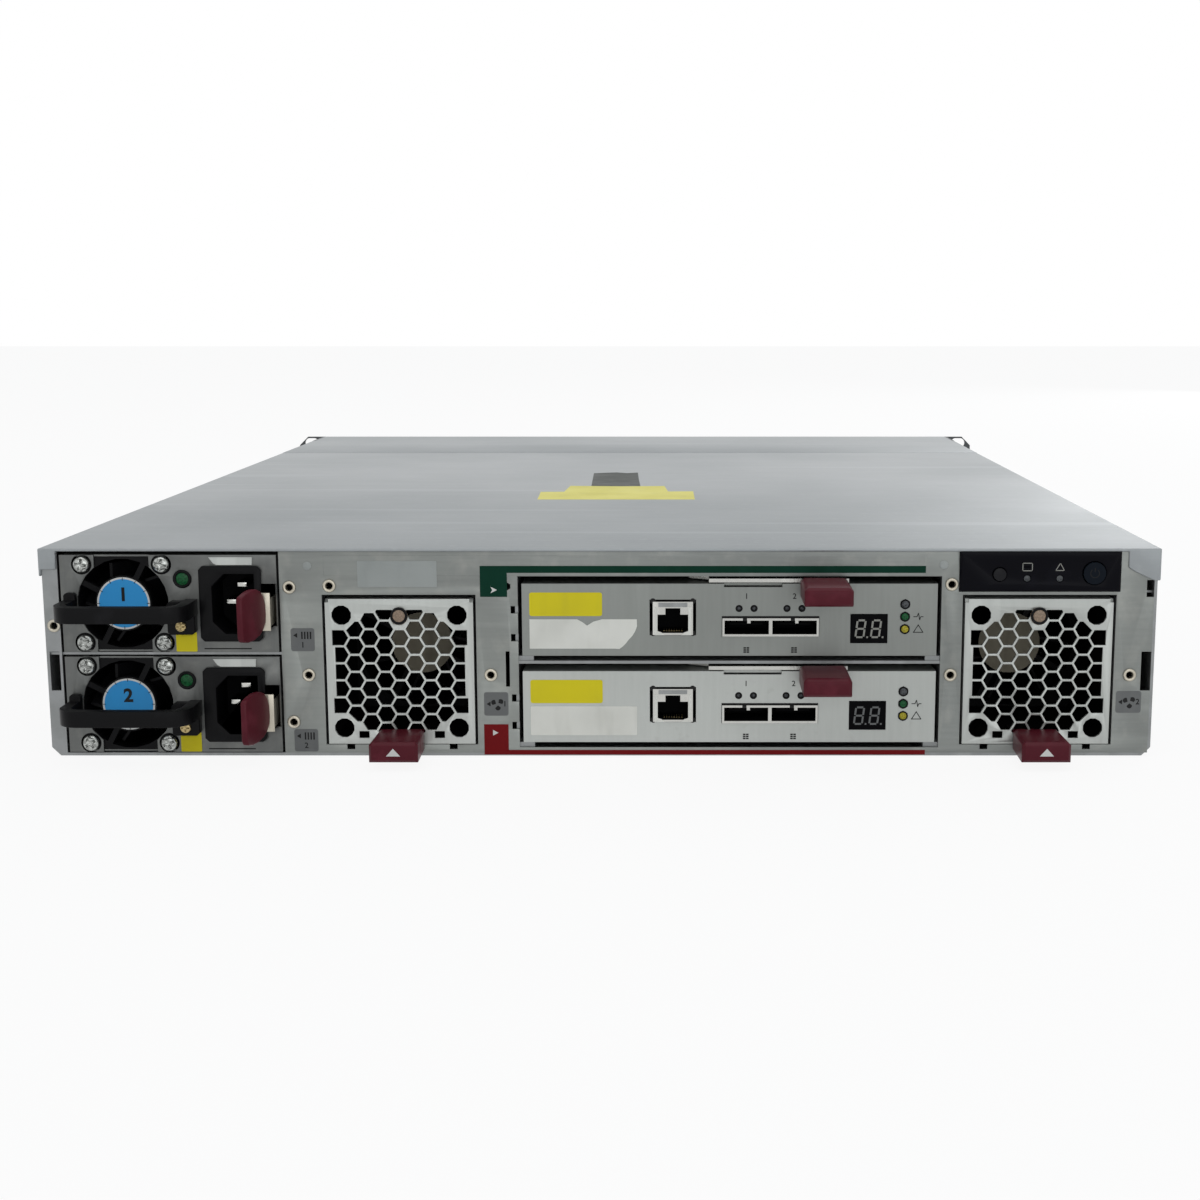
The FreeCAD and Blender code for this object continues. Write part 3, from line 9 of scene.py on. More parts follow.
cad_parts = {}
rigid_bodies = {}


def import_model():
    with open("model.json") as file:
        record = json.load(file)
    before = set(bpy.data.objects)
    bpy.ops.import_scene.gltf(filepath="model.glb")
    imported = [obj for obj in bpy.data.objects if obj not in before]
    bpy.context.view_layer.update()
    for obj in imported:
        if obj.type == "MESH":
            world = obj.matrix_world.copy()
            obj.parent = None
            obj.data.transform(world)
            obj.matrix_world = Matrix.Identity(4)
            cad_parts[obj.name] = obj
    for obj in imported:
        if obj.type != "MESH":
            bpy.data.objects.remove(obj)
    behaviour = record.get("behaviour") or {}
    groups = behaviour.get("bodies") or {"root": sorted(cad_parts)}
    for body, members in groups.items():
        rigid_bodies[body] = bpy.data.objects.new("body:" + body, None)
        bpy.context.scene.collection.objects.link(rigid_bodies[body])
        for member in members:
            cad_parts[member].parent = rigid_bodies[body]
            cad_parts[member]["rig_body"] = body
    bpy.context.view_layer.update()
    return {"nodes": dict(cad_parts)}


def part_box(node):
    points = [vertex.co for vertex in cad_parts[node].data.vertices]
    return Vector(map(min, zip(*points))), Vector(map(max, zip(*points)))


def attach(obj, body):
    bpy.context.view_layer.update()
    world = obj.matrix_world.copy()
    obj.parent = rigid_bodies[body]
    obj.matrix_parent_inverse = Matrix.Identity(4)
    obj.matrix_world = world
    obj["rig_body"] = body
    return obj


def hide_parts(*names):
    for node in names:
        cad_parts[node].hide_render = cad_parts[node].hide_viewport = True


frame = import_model()
mm = 0.001
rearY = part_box("chassis_pan")[0].y      # the rear face of the steel body
rear = rearY / mm
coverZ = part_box("top_cover")[1].z
print("frame loaded:", len(frame["nodes"]), "nodes")


class Wire:
    # a node socket that can be used in sums
    def __init__(self, owner, socket):
        self.owner = owner
        self.socket = socket

    def maths(self, operation, first, second):
        return self.owner.node("ShaderNodeMath", {"operation": operation}, {0: first, 1: second})

    def __add__(self, other):
        return self.maths("ADD", self, other)

    def __radd__(self, other):
        return self.maths("ADD", other, self)

    def __sub__(self, other):
        return self.maths("SUBTRACT", self, other)

    def __rsub__(self, other):
        return self.maths("SUBTRACT", other, self)

    def __mul__(self, other):
        return self.maths("MULTIPLY", self, other)

    def __rmul__(self, other):
        return self.maths("MULTIPLY", other, self)


class Nodes:
    # the nodes of one shader tree
    def __init__(self, tree):
        self.tree = tree

    def node(self, kind, settings=None, values=None, out=0):
        made = self.tree.nodes.new(kind)
        for key, value in (settings or {}).items():
            if key == "stops":
                for element, (where, level) in zip(made.color_ramp.elements, value):
                    element.position = where
                    element.color = (level, level, level, 1)
            else:
                setattr(made, key, value)
        for key, value in (values or {}).items():
            if isinstance(value, Wire):
                self.tree.links.new(value.socket, made.inputs[key])
            else:
                made.inputs[key].default_value = value
        return Wire(self, made.outputs[out])

    def backdropRays(self):
        # one where the camera sees the backdrop, straight, in a reflection or through glass
        camera, glossy, through = [self.node("ShaderNodeLightPath", out="Is %s Ray" % kind)
                                   for kind in ("Camera", "Glossy", "Transmission")]
        return camera + glossy + through


class Finish(Nodes):
    # one material, with its Principled shader and the nodes that feed it
    def __init__(self, name, **fixed):
        self.material = bpy.data.materials.new(name)
        self.material.use_nodes = True
        super().__init__(self.material.node_tree)
        self.shader = self.tree.nodes["Principled BSDF"]
        for socketName, value in fixed.items():
            self.shader.inputs[socketName.replace("_", " ")].default_value = value
        self.place = self.node("ShaderNodeTexCoord", out="Object")

    def feed(self, socketName, wire):
        self.tree.links.new(wire.socket, self.shader.inputs[socketName])

    def noise(self, scale, detail=3.0, stretch=(1, 1, 1), shift=0.0):
        spot = self.node("ShaderNodeMapping", None, {"Vector": self.place, "Scale": stretch,
                                                     "Location": (shift, shift, shift)})
        return self.node("ShaderNodeTexNoise", None, {"Vector": spot, "Scale": scale, "Detail": detail})

    def ramp(self, wire, *stops):
        return self.node("ShaderNodeValToRGB", {"stops": stops}, {0: wire})

    def blend(self, amount, first, second):
        first, second = [tone if isinstance(tone, Wire) else (*tone, 1) for tone in (first, second)]
        return self.node("ShaderNodeMix", {"data_type": "RGBA"}, {0: amount, 6: first, 7: second}, out=2)

    def bump(self, height, strength, distance):
        self.feed("Normal", self.node("ShaderNodeBump", None,
                                      {"Height": height, "Strength": strength, "Distance": distance}))


def metalSheet(name, base, dull, spots, brushed, metallic=0.85, rough=(0.3, 0.5)):
    # plated or bare sheet: broad cloudiness, small spots and a fine brushed grain
    f = Finish(name, Metallic=metallic)
    cloud = f.ramp(f.noise(9, 4), (0.35, 0), (0.7, 1))
    fleck = f.ramp(f.noise(spots["scale"], 5, shift=3), (spots["from"], 0), (spots["to"], 1))
    grain = f.noise(brushed["scale"], 3, stretch=brushed["stretch"], shift=7)
    scratch = f.ramp(f.noise(60, 2, stretch=brushed["stretch"], shift=11), (0.62, 0), (0.68, 1))
    tone = f.blend(cloud * 0.55 + grain * 0.35, base, dull)
    tone = f.blend(fleck * spots["amount"], tone, spots["colour"])
    f.feed("Base Color", f.blend(scratch * 0.25, tone, [min(1, c * 1.35) for c in base]))
    f.feed("Roughness", rough[0] + (rough[1] - rough[0]) * (cloud * 0.5 + grain * 0.5))
    f.bump(grain + fleck * 0.4, 0.12, 0.0004)
    return f.material


def mouldedPlastic(name, base, worn, rough, texture, coat=0.0, shine=0.16):
    f = Finish(name, Coat_Weight=coat, IOR=1.5, Specular_IOR_Level=shine)
    fine = f.noise(texture["scale"], 3)
    scuff = f.ramp(f.noise(90, 6, shift=5), (0.58, 0), (0.75, 1))
    smear = f.noise(22, 3, shift=9)
    f.feed("Base Color", f.blend(scuff * 0.45 + smear * 0.15, base, worn))
    f.feed("Roughness", rough + scuff * 0.18 + smear * 0.12 - 0.06)
    f.bump(fine, texture["strength"], 0.0003)
    return f.material


def printedLabel(name, base, aged, rough=0.5, shine=0.2):
    f = Finish(name, Specular_IOR_Level=shine)
    blotch = f.ramp(f.noise(45, 5), (0.4, 0), (0.75, 1))
    crease = f.ramp(f.noise(130, 2, stretch=(1, 1, 0.25), shift=2), (0.55, 0), (0.8, 1))
    f.feed("Base Color", f.blend(blotch * 0.4 + crease * 0.35, base, aged))
    f.feed("Roughness", rough + blotch * 0.2)
    f.bump(crease + f.noise(18, 2) * 0.6, 0.2, 0.0004)
    return f.material


def glowlessLens(name, core, rim, rough=0.12):
    f = Finish(name, Coat_Weight=0.06, IOR=1.52, Specular_IOR_Level=0.14)
    facets = f.node("ShaderNodeTexVoronoi", None, {"Vector": f.place, "Scale": 1400.0})
    f.feed("Base Color", f.blend(f.ramp(facets, (0.1, 0), (0.6, 1)), core, rim))
    f.feed("Roughness", rough + f.noise(300) * 0.15)
    f.bump(facets, 0.3, 0.0002)
    return f.material


metalLooks = {
    "coverSteel": {
        "base": (0.33, 0.35, 0.36), "dull": (0.27, 0.29, 0.30),
        "spots": {"scale": 260, "from": 0.55, "to": 0.75, "amount": 0.2, "colour": (0.42, 0.44, 0.45)},
        "brushed": {"scale": 500, "stretch": (0.04, 1, 1)}, "metallic": 0.55, "rough": (0.4, 0.52)},
    "panelSteel": {
        "base": (0.27, 0.285, 0.27), "dull": (0.16, 0.17, 0.165),
        "spots": {"scale": 150, "from": 0.5, "to": 0.8, "amount": 0.35, "colour": (0.36, 0.36, 0.33)},
        "brushed": {"scale": 700, "stretch": (0.08, 1, 1)}, "metallic": 0.7, "rough": (0.34, 0.52)},
    "moduleSteel": {
        "base": (0.48, 0.50, 0.48), "dull": (0.34, 0.355, 0.34),
        "spots": {"scale": 210, "from": 0.6, "to": 0.8, "amount": 0.3, "colour": (0.27, 0.27, 0.25)},
        "brushed": {"scale": 600, "stretch": (1, 1, 0.06)}, "metallic": 0.7, "rough": (0.32, 0.48)},
    # painted shade: a darker copy of moduleSteel for the I/O module that stands in shade
    "dimSteel": {
        "base": (0.27, 0.285, 0.27), "dull": (0.18, 0.19, 0.18),
        "spots": {"scale": 210, "from": 0.6, "to": 0.8, "amount": 0.3, "colour": (0.2, 0.2, 0.19)},
        "brushed": {"scale": 600, "stretch": (1, 1, 0.06)}, "metallic": 0.7, "rough": (0.3, 0.46)},
    "supplySteel": {
        "base": (0.15, 0.155, 0.15), "dull": (0.095, 0.1, 0.098),
        "spots": {"scale": 240, "from": 0.5, "to": 0.8, "amount": 0.3, "colour": (0.24, 0.24, 0.22)},
        "brushed": {"scale": 600, "stretch": (1, 1, 0.06)}, "metallic": 0.7, "rough": (0.34, 0.5)},
    "zincSteel": {
        "base": (0.28, 0.29, 0.29), "dull": (0.2, 0.21, 0.21),
        "spots": {"scale": 90, "from": 0.45, "to": 0.6, "amount": 0.35, "colour": (0.34, 0.35, 0.36)},
        "brushed": {"scale": 400, "stretch": (1, 0.2, 1)}, "metallic": 0.7, "rough": (0.34, 0.5)},
    "brightSteel": {
        "base": (0.6, 0.6, 0.57), "dull": (0.4, 0.4, 0.38),
        "spots": {"scale": 320, "from": 0.6, "to": 0.8, "amount": 0.3, "colour": (0.2, 0.2, 0.18)},
        "brushed": {"scale": 900, "stretch": (1, 1, 0.3)}, "metallic": 0.95, "rough": (0.16, 0.32)},
    "screwSteel": {
        "base": (0.5, 0.52, 0.5), "dull": (0.26, 0.27, 0.26),
        "spots": {"scale": 700, "from": 0.45, "to": 0.6, "amount": 0.55, "colour": (0.1, 0.1, 0.095)},
        "brushed": {"scale": 900, "stretch": (1, 1, 1)}, "metallic": 0.95, "rough": (0.14, 0.3)},
    "warmSteel": {
        "base": (0.58, 0.54, 0.45), "dull": (0.42, 0.39, 0.32),
        "spots": {"scale": 300, "from": 0.6, "to": 0.8, "amount": 0.3, "colour": (0.26, 0.23, 0.18)},
        "brushed": {"scale": 800, "stretch": (1, 1, 0.1)}, "metallic": 0.75, "rough": (0.25, 0.42)},
    "brassPlate": {
        "base": (0.5, 0.4, 0.2), "dull": (0.28, 0.21, 0.1),
        "spots": {"scale": 500, "from": 0.5, "to": 0.7, "amount": 0.5, "colour": (0.07, 0.055, 0.03)},
        "brushed": {"scale": 900, "stretch": (1, 1, 1)}, "metallic": 0.95, "rough": (0.2, 0.4)},
    "castAluminium": {
        "base": (0.5, 0.51, 0.52), "dull": (0.4, 0.41, 0.42),
        "spots": {"scale": 600, "from": 0.5, "to": 0.7, "amount": 0.3, "colour": (0.6, 0.6, 0.6)},
        "brushed": {"scale": 500, "stretch": (1, 1, 1)}, "metallic": 0.85, "rough": (0.35, 0.5)},
}
plasticLooks = {
    "blackPlastic": {
        "base": (0.0035, 0.0035, 0.004), "worn": (0.015, 0.015, 0.017), "rough": 0.4,
        "texture": {"scale": 900, "strength": 0.12}, "shine": 0.1},
    "glossBlack": {
        "base": (0.003, 0.003, 0.005), "worn": (0.008, 0.008, 0.012), "rough": 0.26,
        "texture": {"scale": 700, "strength": 0.04}, "shine": 0.05},
    "windowBlack": {
        "base": (0.002, 0.002, 0.0025), "worn": (0.006, 0.006, 0.007), "rough": 0.3,
        "texture": {"scale": 700, "strength": 0.03}, "shine": 0.03},
    "buttonBlack": {
        "base": (0.004, 0.0065, 0.011), "worn": (0.012, 0.017, 0.024), "rough": 0.28,
        "texture": {"scale": 700, "strength": 0.05}, "shine": 0.06},
    "buttonGrey": {
        "base": (0.012, 0.012, 0.014), "worn": (0.035, 0.035, 0.035), "rough": 0.4,
        "texture": {"scale": 700, "strength": 0.05}, "shine": 0.08},
    "maroonPlastic": {
        "base": (0.075, 0.006, 0.013), "worn": (0.14, 0.022, 0.036), "rough": 0.34,
        "texture": {"scale": 1100, "strength": 0.1}, "shine": 0.14},
    "greyBlank": {
        "base": (0.03, 0.03, 0.032), "worn": (0.07, 0.07, 0.07), "rough": 0.5,
        "texture": {"scale": 900, "strength": 0.15}},
    # painted shade: a near black finish laid on the insides of hollows, where shade falls
    "darkCavity": {
        "base": (0.002, 0.002, 0.0025), "worn": (0.005, 0.005, 0.005), "rough": 0.6,
        "texture": {"scale": 400, "strength": 0.05}, "shine": 0.05},
    "boardGreen": {
        "base": (0.01, 0.075, 0.03), "worn": (0.03, 0.12, 0.05), "rough": 0.35,
        "texture": {"scale": 500, "strength": 0.1}, "shine": 0.4},
    "earPaint": {
        "base": (0.1, 0.105, 0.11), "worn": (0.18, 0.18, 0.18), "rough": 0.5,
        "texture": {"scale": 1400, "strength": 0.25}},
}
labelLooks = {
    "labelYellow": {"base": (0.70, 0.60, 0.012), "aged": (0.56, 0.48, 0.03)},
    "roofYellow": {"base": (0.76, 0.70, 0.17), "aged": (0.62, 0.57, 0.2)},
    "labelWhite": {"base": (0.75, 0.75, 0.70), "aged": (0.5, 0.5, 0.45)},
    "labelGrey": {"base": (0.135, 0.14, 0.14), "aged": (0.2, 0.205, 0.2)},
    "labelSilver": {"base": (0.34, 0.36, 0.35), "aged": (0.26, 0.28, 0.27)},
    "labelBlue": {"base": (0.035, 0.30, 0.66), "aged": (0.04, 0.24, 0.53)},
    # painted light: beige for the light seen through the fan grille, darker in blotches
    "labelBeige": {"base": (0.42, 0.38, 0.29), "aged": (0.13, 0.11, 0.08), "rough": 0.6},
    "labelFoil": {"base": (0.045, 0.052, 0.048), "aged": (0.13, 0.14, 0.13), "rough": 0.4, "shine": 0.05},
    "printGreen": {"base": (0.001, 0.028, 0.015), "aged": (0.008, 0.05, 0.034), "shine": 0.08},
    "printRed": {"base": (0.17, 0.006, 0.008), "aged": (0.13, 0.012, 0.013), "shine": 0.08},
    # black print; also black slabs painted as shade in slots, notches and gaps
    "inkBlack": {"base": (0.006, 0.006, 0.006), "aged": (0.025, 0.025, 0.025)},
    "inkWhite": {"base": (0.66, 0.66, 0.64), "aged": (0.5, 0.5, 0.47)},
    "inkGrey": {"base": (0.3, 0.3, 0.27), "aged": (0.2, 0.2, 0.185)},
}
lensLooks = {
    "lensGreen": {"core": (0.003, 0.03, 0.01), "rim": (0.008, 0.1, 0.03)},
    "lensYellow": {"core": (0.22, 0.18, 0.01), "rim": (0.42, 0.36, 0.03)},
    "lensSmoke": {"core": (0.02, 0.022, 0.024), "rim": (0.08, 0.085, 0.09)},
    "lensBeige": {"core": (0.38, 0.27, 0.2), "rim": (0.24, 0.18, 0.13)},
}
looks = {}
for make, kinds in ((metalSheet, metalLooks), (mouldedPlastic, plasticLooks), (printedLabel, labelLooks),
                    (glowlessLens, lensLooks)):
    for key, settings in kinds.items():
        looks[key] = make(key, **settings)
print("materials made:", len(looks))

# every piece is made in place; sizes are in millimetres until a mesh is made

def addPiece(name, mesh, look, body, smooth=False):
    piece = bpy.data.objects.new(name, mesh)
    bpy.context.scene.collection.objects.link(piece)
    if look:
        mesh.materials.clear()
        mesh.materials.append(looks[look])
    for face in mesh.polygons:
        face.use_smooth = smooth
    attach(piece, body)
    return piece


def meshFrom(name, points, faces):
    mesh = bpy.data.meshes.new(name)
    mesh.from_pydata([Vector(p) * mm for p in points], [], faces)
    work = bmesh.new()
    work.from_mesh(mesh)
    bmesh.ops.recalc_face_normals(work, faces=work.faces)
    work.to_mesh(mesh)
    work.free()
    return mesh


def nodeBox(node):
    # x0, x1, y0, y1, z0, z1 in millimetres
    low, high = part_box(node)
    return [value / mm for pair in zip(low, high) for value in pair]


def polar(x, z, radius, angle):
    return x + radius * math.cos(angle), z + radius * math.sin(angle)


def circle(x, z, radius, steps=28):
    return [polar(x, z, radius, 2 * math.pi * step / steps) for step in range(steps)]


def rect(x0, x1, z0, z1):
    return [(x0, z0), (x1, z0), (x1, z1), (x0, z1)]


def triangle(x, z, half, low, high):
    return [(x - half, z + low), (x + half, z + low), (x, z + high)]


def shifted(x, z, ranges):
    # a piece's own ranges in X and Z, carried to its place
    return x + ranges[0], x + ranges[1], z + ranges[2], z + ranges[3]


def roundedOutline(x0, x1, z0, z1, radius, steps=4):
    outline = []
    for cx, cz, start in ((x1 - radius, z0 + radius, -90), (x1 - radius, z1 - radius, 0),
                          (x0 + radius, z1 - radius, 90), (x0 + radius, z0 + radius, 180)):
        outline += [polar(cx, cz, radius, math.radians(start + 90 * step / steps))
                    for step in range(steps + 1)]
    return outline


def stroke(start, stop, wide, square=False):
    # one straight line; square ends run half its width past the corners
    (ax, az), (bx, bz) = start, stop
    long = math.hypot(bx - ax, bz - az)
    ex, ez = (bx - ax) / long * wide / 2, (bz - az) / long * wide / 2
    nx, nz = -ez, ex
    if not square:
        ex, ez = 0.0, 0.0
    return [(ax - ex + nx, az - ez + nz), (bx + ex + nx, bz + ez + nz),
            (bx + ex - nx, bz + ez - nz), (ax - ex - nx, az - ez - nz)]


def frameLines(corners, wide):
    # thin lines along a closed outline
    return [stroke(start, stop, wide, True) for start, stop in zip(corners, corners[1:] + corners[:1])]


def prism(near, far):
    # a closed solid between two like rings of points
    count = len(near)
    faces = [tuple(range(count)), tuple(range(2 * count - 1, count - 1, -1))]
    faces += [(i, (i + 1) % count, count + (i + 1) % count, count + i) for i in range(count)]
    return near + far, faces


def upright(outline, y0, y1):
    # an outline in X and Z carried from y0 to y1
    return prism([(x, y0, z) for x, z in outline], [(x, y1, z) for x, z in outline])


def blocks(*corners):
    # boxes as one set of points and faces: x, y, z ranges
    points = []
    faces = []
    for x0, x1, y0, y1, z0, z1 in corners:
        first = len(points)
        points += [(x, y, z) for x in (x0, x1) for y in (y0, y1) for z in (z0, z1)]
        faces += [tuple(first + i for i in face) for face in
                  ((0, 1, 3, 2), (4, 6, 7, 5), (0, 4, 5, 1), (2, 3, 7, 6), (0, 2, 6, 4), (1, 5, 7, 3))]
    return points, faces


def turned(profile, x, z, steps=36, face=rear, ring=False):
    # (radius, depth) pairs turned round an axis along Y; depth counts from face towards the rear
    points = []
    faces = []
    for radius, depth in profile:
        for px, pz in circle(x, z, radius, steps):
            points.append((px, face - depth, pz))
    last = (len(profile) - 1) * steps
    for row in range(0, last, steps):
        for step in range(steps):
            after = (step + 1) % steps
            faces.append((row + step, row + after, row + steps + after, row + steps + step))
    if ring:        # the profile closes on itself
        return points, faces + [(step, (step + 1) % steps, last + (step + 1) % steps, last + step)
                                for step in range(steps)]
    return points, faces + [tuple(range(steps)), tuple(range(last, last + steps))]


def disc(name, x, z, profile, look, body):
    return addPiece(name, meshFrom(name, *turned(profile, x, z, 48)), look, body)


def dome(name, x, z, radius, low, rise, look, body, steps=6):
    # from a flat back up to a rounded crown
    profile = [(radius, low - 0.6), (radius, low)]
    for step in range(1, steps + 1):
        angle = math.pi / 2 * step / steps
        profile.append((max(radius * math.cos(angle), 0.02), low + rise * math.sin(angle)))
    return addPiece(name, meshFrom(name, *turned(profile, x, z)), look, body, True)


def collar(name, x, z, outer, inner, low, rise, look, body):
    # a ring with a rounded lip
    mid = (outer + inner) / 2
    profile = [(outer, low - 0.5), (outer, low + rise * 0.6), (mid + (outer - mid) * 0.5, low + rise),
               (mid - (mid - inner) * 0.5, low + rise), (inner, low + rise * 0.5), (inner, low - 0.5)]
    return addPiece(name, meshFrom(name, *turned(profile, x, z, ring=True)), look, body, True)


def joinSlabs(name, outlines, look, body, slotName, back=0.02, thick=0.05):
    # flat marks as one piece; back is how far behind the body's rear face they lie
    points = []
    faces = []
    for outline in outlines:
        more, theirs = upright(outline, rear - back, rear - back - thick)
        faces += [tuple(index + len(points) for index in face) for face in theirs]
        points += more
    return addPiece(name, meshFrom(name, points, faces), look, body)


def bakedMesh(thing):
    # the thing as its modifiers leave it, as a plain mesh
    bpy.context.view_layer.update()
    return bpy.data.meshes.new_from_object(thing.evaluated_get(bpy.context.evaluated_depsgraph_get()))


def looseObject(name, data):
    thing = bpy.data.objects.new(name, data)
    bpy.context.scene.collection.objects.link(thing)
    return thing


def numeral(name, text, x, z, back, size, look, body, bold=0.0):
    # plain digits standing on the rear face, centred on x and z
    letters = bpy.data.curves.new(name, "FONT")
    letters.body = text
    letters.size = size * mm
    letters.align_x = "CENTER"
    letters.align_y = "CENTER"
    letters.extrude = 0.03 * mm
    letters.offset = bold * mm
    holder = looseObject(name + "Text", letters)
    mesh = bakedMesh(holder)
    place = Matrix.Translation((x * mm, rearY - (back + 0.03) * mm, z * mm))
    mesh.transform(place @ Matrix.Rotation(math.pi / 2, 4, "X"))
    bpy.data.objects.remove(holder)
    return addPiece(name, mesh, look, body)


def easedMesh(mesh, width=0.0, segments=2, cutters=(), crossing=False):
    # cuts the mesh, then rounds its edges; crossing is for a cutter whose own blocks overlap
    holder = looseObject("holder", mesh)
    tools = [looseObject("cutter", meshFrom("cutter", *cutter)) for cutter in cutters]
    for tool in tools:
        cut = holder.modifiers.new("cut", "BOOLEAN")
        cut.object = tool
        cut.solver = "EXACT"
        cut.use_self = crossing
    if width:
        ease = holder.modifiers.new("ease", "BEVEL")
        ease.width = width * mm
        ease.segments = segments
        ease.limit_method = "ANGLE"
        ease.angle_limit = math.radians(35)
        ease.use_clamp_overlap = True
    eased = bakedMesh(holder)
    for thing in [holder] + tools:
        bpy.data.objects.remove(thing)
    return eased


def softEdges(node, width, segments=2, cutters=(), reshape=None):
    # the node's own shape with its edges eased, in place of the sharp solid
    source = frame["nodes"][node]
    work = bmesh.new()
    work.from_mesh(source.data)
    bmesh.ops.remove_doubles(work, verts=work.verts, dist=1e-6)
    if reshape:
        for corner in work.verts:
            reshape(corner)
    bmesh.ops.dissolve_limit(work, angle_limit=math.radians(1), verts=work.verts, edges=work.edges,
                             delimit={"MATERIAL"})
    mesh = bpy.data.meshes.new(node + "Soft")
    work.to_mesh(mesh)
    work.free()
    for finish in source.data.materials:
        mesh.materials.append(finish)
    eased = easedMesh(mesh, width, segments, cutters)
    piece = addPiece(node.replace("_", "") + "Soft", eased, None, source["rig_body"], True)
    eased.set_sharp_from_angle(angle=math.radians(40))
    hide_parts(node)
    return piece


def placingTree():
    # sets a piece at each point of a mesh, with a random turn about Y
    tree = bpy.data.node_groups.new("setAtPlaces", "GeometryNodeTree")
    for name, kind in (("Geometry", "Geometry"), ("Piece", "Object"), ("Size", "Float"),
                       ("Turn range", "Float"), ("Finish", "Material")):
        tree.interface.new_socket(name, in_out="INPUT", socket_type="NodeSocket" + kind)
    tree.interface.new_socket("Geometry", in_out="OUTPUT", socket_type="NodeSocketGeometry")
    enter, leave, info, turn, vector, setOut, realize, paint = [tree.nodes.new(kind) for kind in (
        "NodeGroupInput", "NodeGroupOutput", "GeometryNodeObjectInfo", "FunctionNodeRandomValue",
        "ShaderNodeCombineXYZ", "GeometryNodeInstanceOnPoints", "GeometryNodeRealizeInstances",
        "GeometryNodeSetMaterial")]
    turn.inputs["Seed"].default_value = 4
    for start, socketName, stop, into in (
            (enter, "Geometry", setOut, "Points"), (enter, "Piece", info, "Object"),
            (info, "Geometry", setOut, "Instance"), (enter, "Size", setOut, "Scale"),
            (enter, "Turn range", turn, 3), (turn, 1, vector, "Y"), (vector, "Vector", setOut, "Rotation"),
            (setOut, "Instances", realize, "Geometry"), (realize, "Geometry", paint, "Geometry"),
            (enter, "Finish", paint, "Material"), (paint, "Geometry", leave, "Geometry")):
        tree.links.new(start.outputs[socketName], stop.inputs[into])
    return tree


placing = placingTree()


def setOutPieces(name, prototype, places, look, body, size=1.0, turnRange=0.0, smooth=True):
    # the prototype is a mesh round the origin
    seed = bpy.data.meshes.new(name + "Places")
    seed.from_pydata([Vector(place) * mm for place in places], [], [])
    holder = looseObject(name + "Holder", seed)
    model = looseObject(name + "Model", prototype)
    step = holder.modifiers.new("places", "NODES")
    step.node_group = placing
    values = {"Piece": model, "Size": size, "Turn range": turnRange, "Finish": looks[look]}
    for item in placing.interface.items_tree:
        if item.in_out == "INPUT" and item.name in values:
            step[item.identifier] = values[item.name]
    mesh = bakedMesh(holder)
    bpy.data.objects.remove(holder)
    bpy.data.objects.remove(model)
    return addPiece(name, mesh, None, body, smooth)


nodeLooks = {
    "chassis_pan": "zincSteel", "rear_panel": "panelSteel", "threaded_inserts": "warmSteel",
    "top_cover": "coverSteel",
    "drive_cage": "coverSteel", "rack_ears": "earPaint", "thumbscrew_left": "brightSteel",
    "thumbscrew_right": "brightSteel", "bay_walls": "zincSteel", "rear_backplane": "boardGreen",
    "rear_connectors": "blackPlastic", "bridge_board": "boardGreen", "drive_backplane": "boardGreen",
    "drive_connectors": "blackPlastic", "drive_blanks": "greyBlank", "drive_carrier": "blackPlastic",
    "disk_drive": "castAluminium", "drive_lever": "greyBlank", "drive_button": "maroonPlastic",
    "control_bezel": "glossBlack", "uid_button": "buttonGrey", "power_button": "buttonBlack",
    # painted shade: the first I/O case gets the darker copy of the module steel
    "psu_1_case": "supplySteel", "psu_2_case": "supplySteel", "io_a_case": "dimSteel",
}
endings = {
    "_case": "moduleSteel", "_fan_frame": "blackPlastic", "_fan_rotor": "blackPlastic",
    "_inlet": "blackPlastic", "_handle": "blackPlastic", "_screws": "brightSteel",
    "_latch": "maroonPlastic", "_housing": "moduleSteel",
    "_frame": "blackPlastic", "_rotor": "blackPlastic", "_light_guide": "lensBeige", "_board": "boardGreen",
    "_sas_cage": "brightSteel", "_network_jack": "brightSteel", "_indicators": "windowBlack",
    "_lever": "brightSteel", "_grip": "maroonPlastic",
}
for nodeName, node in frame["nodes"].items():
    look = nodeLooks.get(nodeName) or next(value for key, value in endings.items() if nodeName.endswith(key))
    node.data.materials.clear()
    node.data.materials.append(looks[look])


def paintFaces(nodeName, look, inside):
    # gives the faces whose centre passes the test another finish
    mesh = frame["nodes"][nodeName].data
    mesh.materials.append(looks[look])
    index = len(mesh.materials) - 1
    for face in mesh.polygons:
        if inside(face.center / mm):
            face.material_index = index


def flattenBand(corner):
    # the band over the modules stands only a tenth of a millimetre proud
    if corner.co.y < rearY - 0.3 * mm:
        corner.co.y = rearY - 0.1 * mm


for nodeName, width, change in (("top_cover", 0.7, None), ("drive_cage", 0.3, None),
                                ("rear_panel", 0.12, flattenBand), ("control_bezel", 0.25, None)):
    softEdges(nodeName, width, reshape=change)
print("solid pieces finished")


def crossScrew(settings):
    # a domed head round the origin, facing the rear, with a cross recess
    radius, rise = settings["headRadius"], settings["headRise"]
    profile = [(radius * 0.96, -settings["shank"]), (radius, 0.0), (radius, rise * 0.35),
               (radius * 0.86, rise * 0.72), (radius * 0.6, rise * 0.93), (radius * 0.3, rise)]
    reach, half, deep = radius * settings["recessReach"], settings["recessHalf"], settings["recessDepth"]
    bars = blocks((-reach, reach, -rise - deep, deep - rise, -half, half),
                  (-half, half, -rise - deep, deep - rise, -reach, reach))
    return easedMesh(meshFrom("crossScrew", *turned(profile, 0, 0, 28, 0)), cutters=[bars], crossing=True)


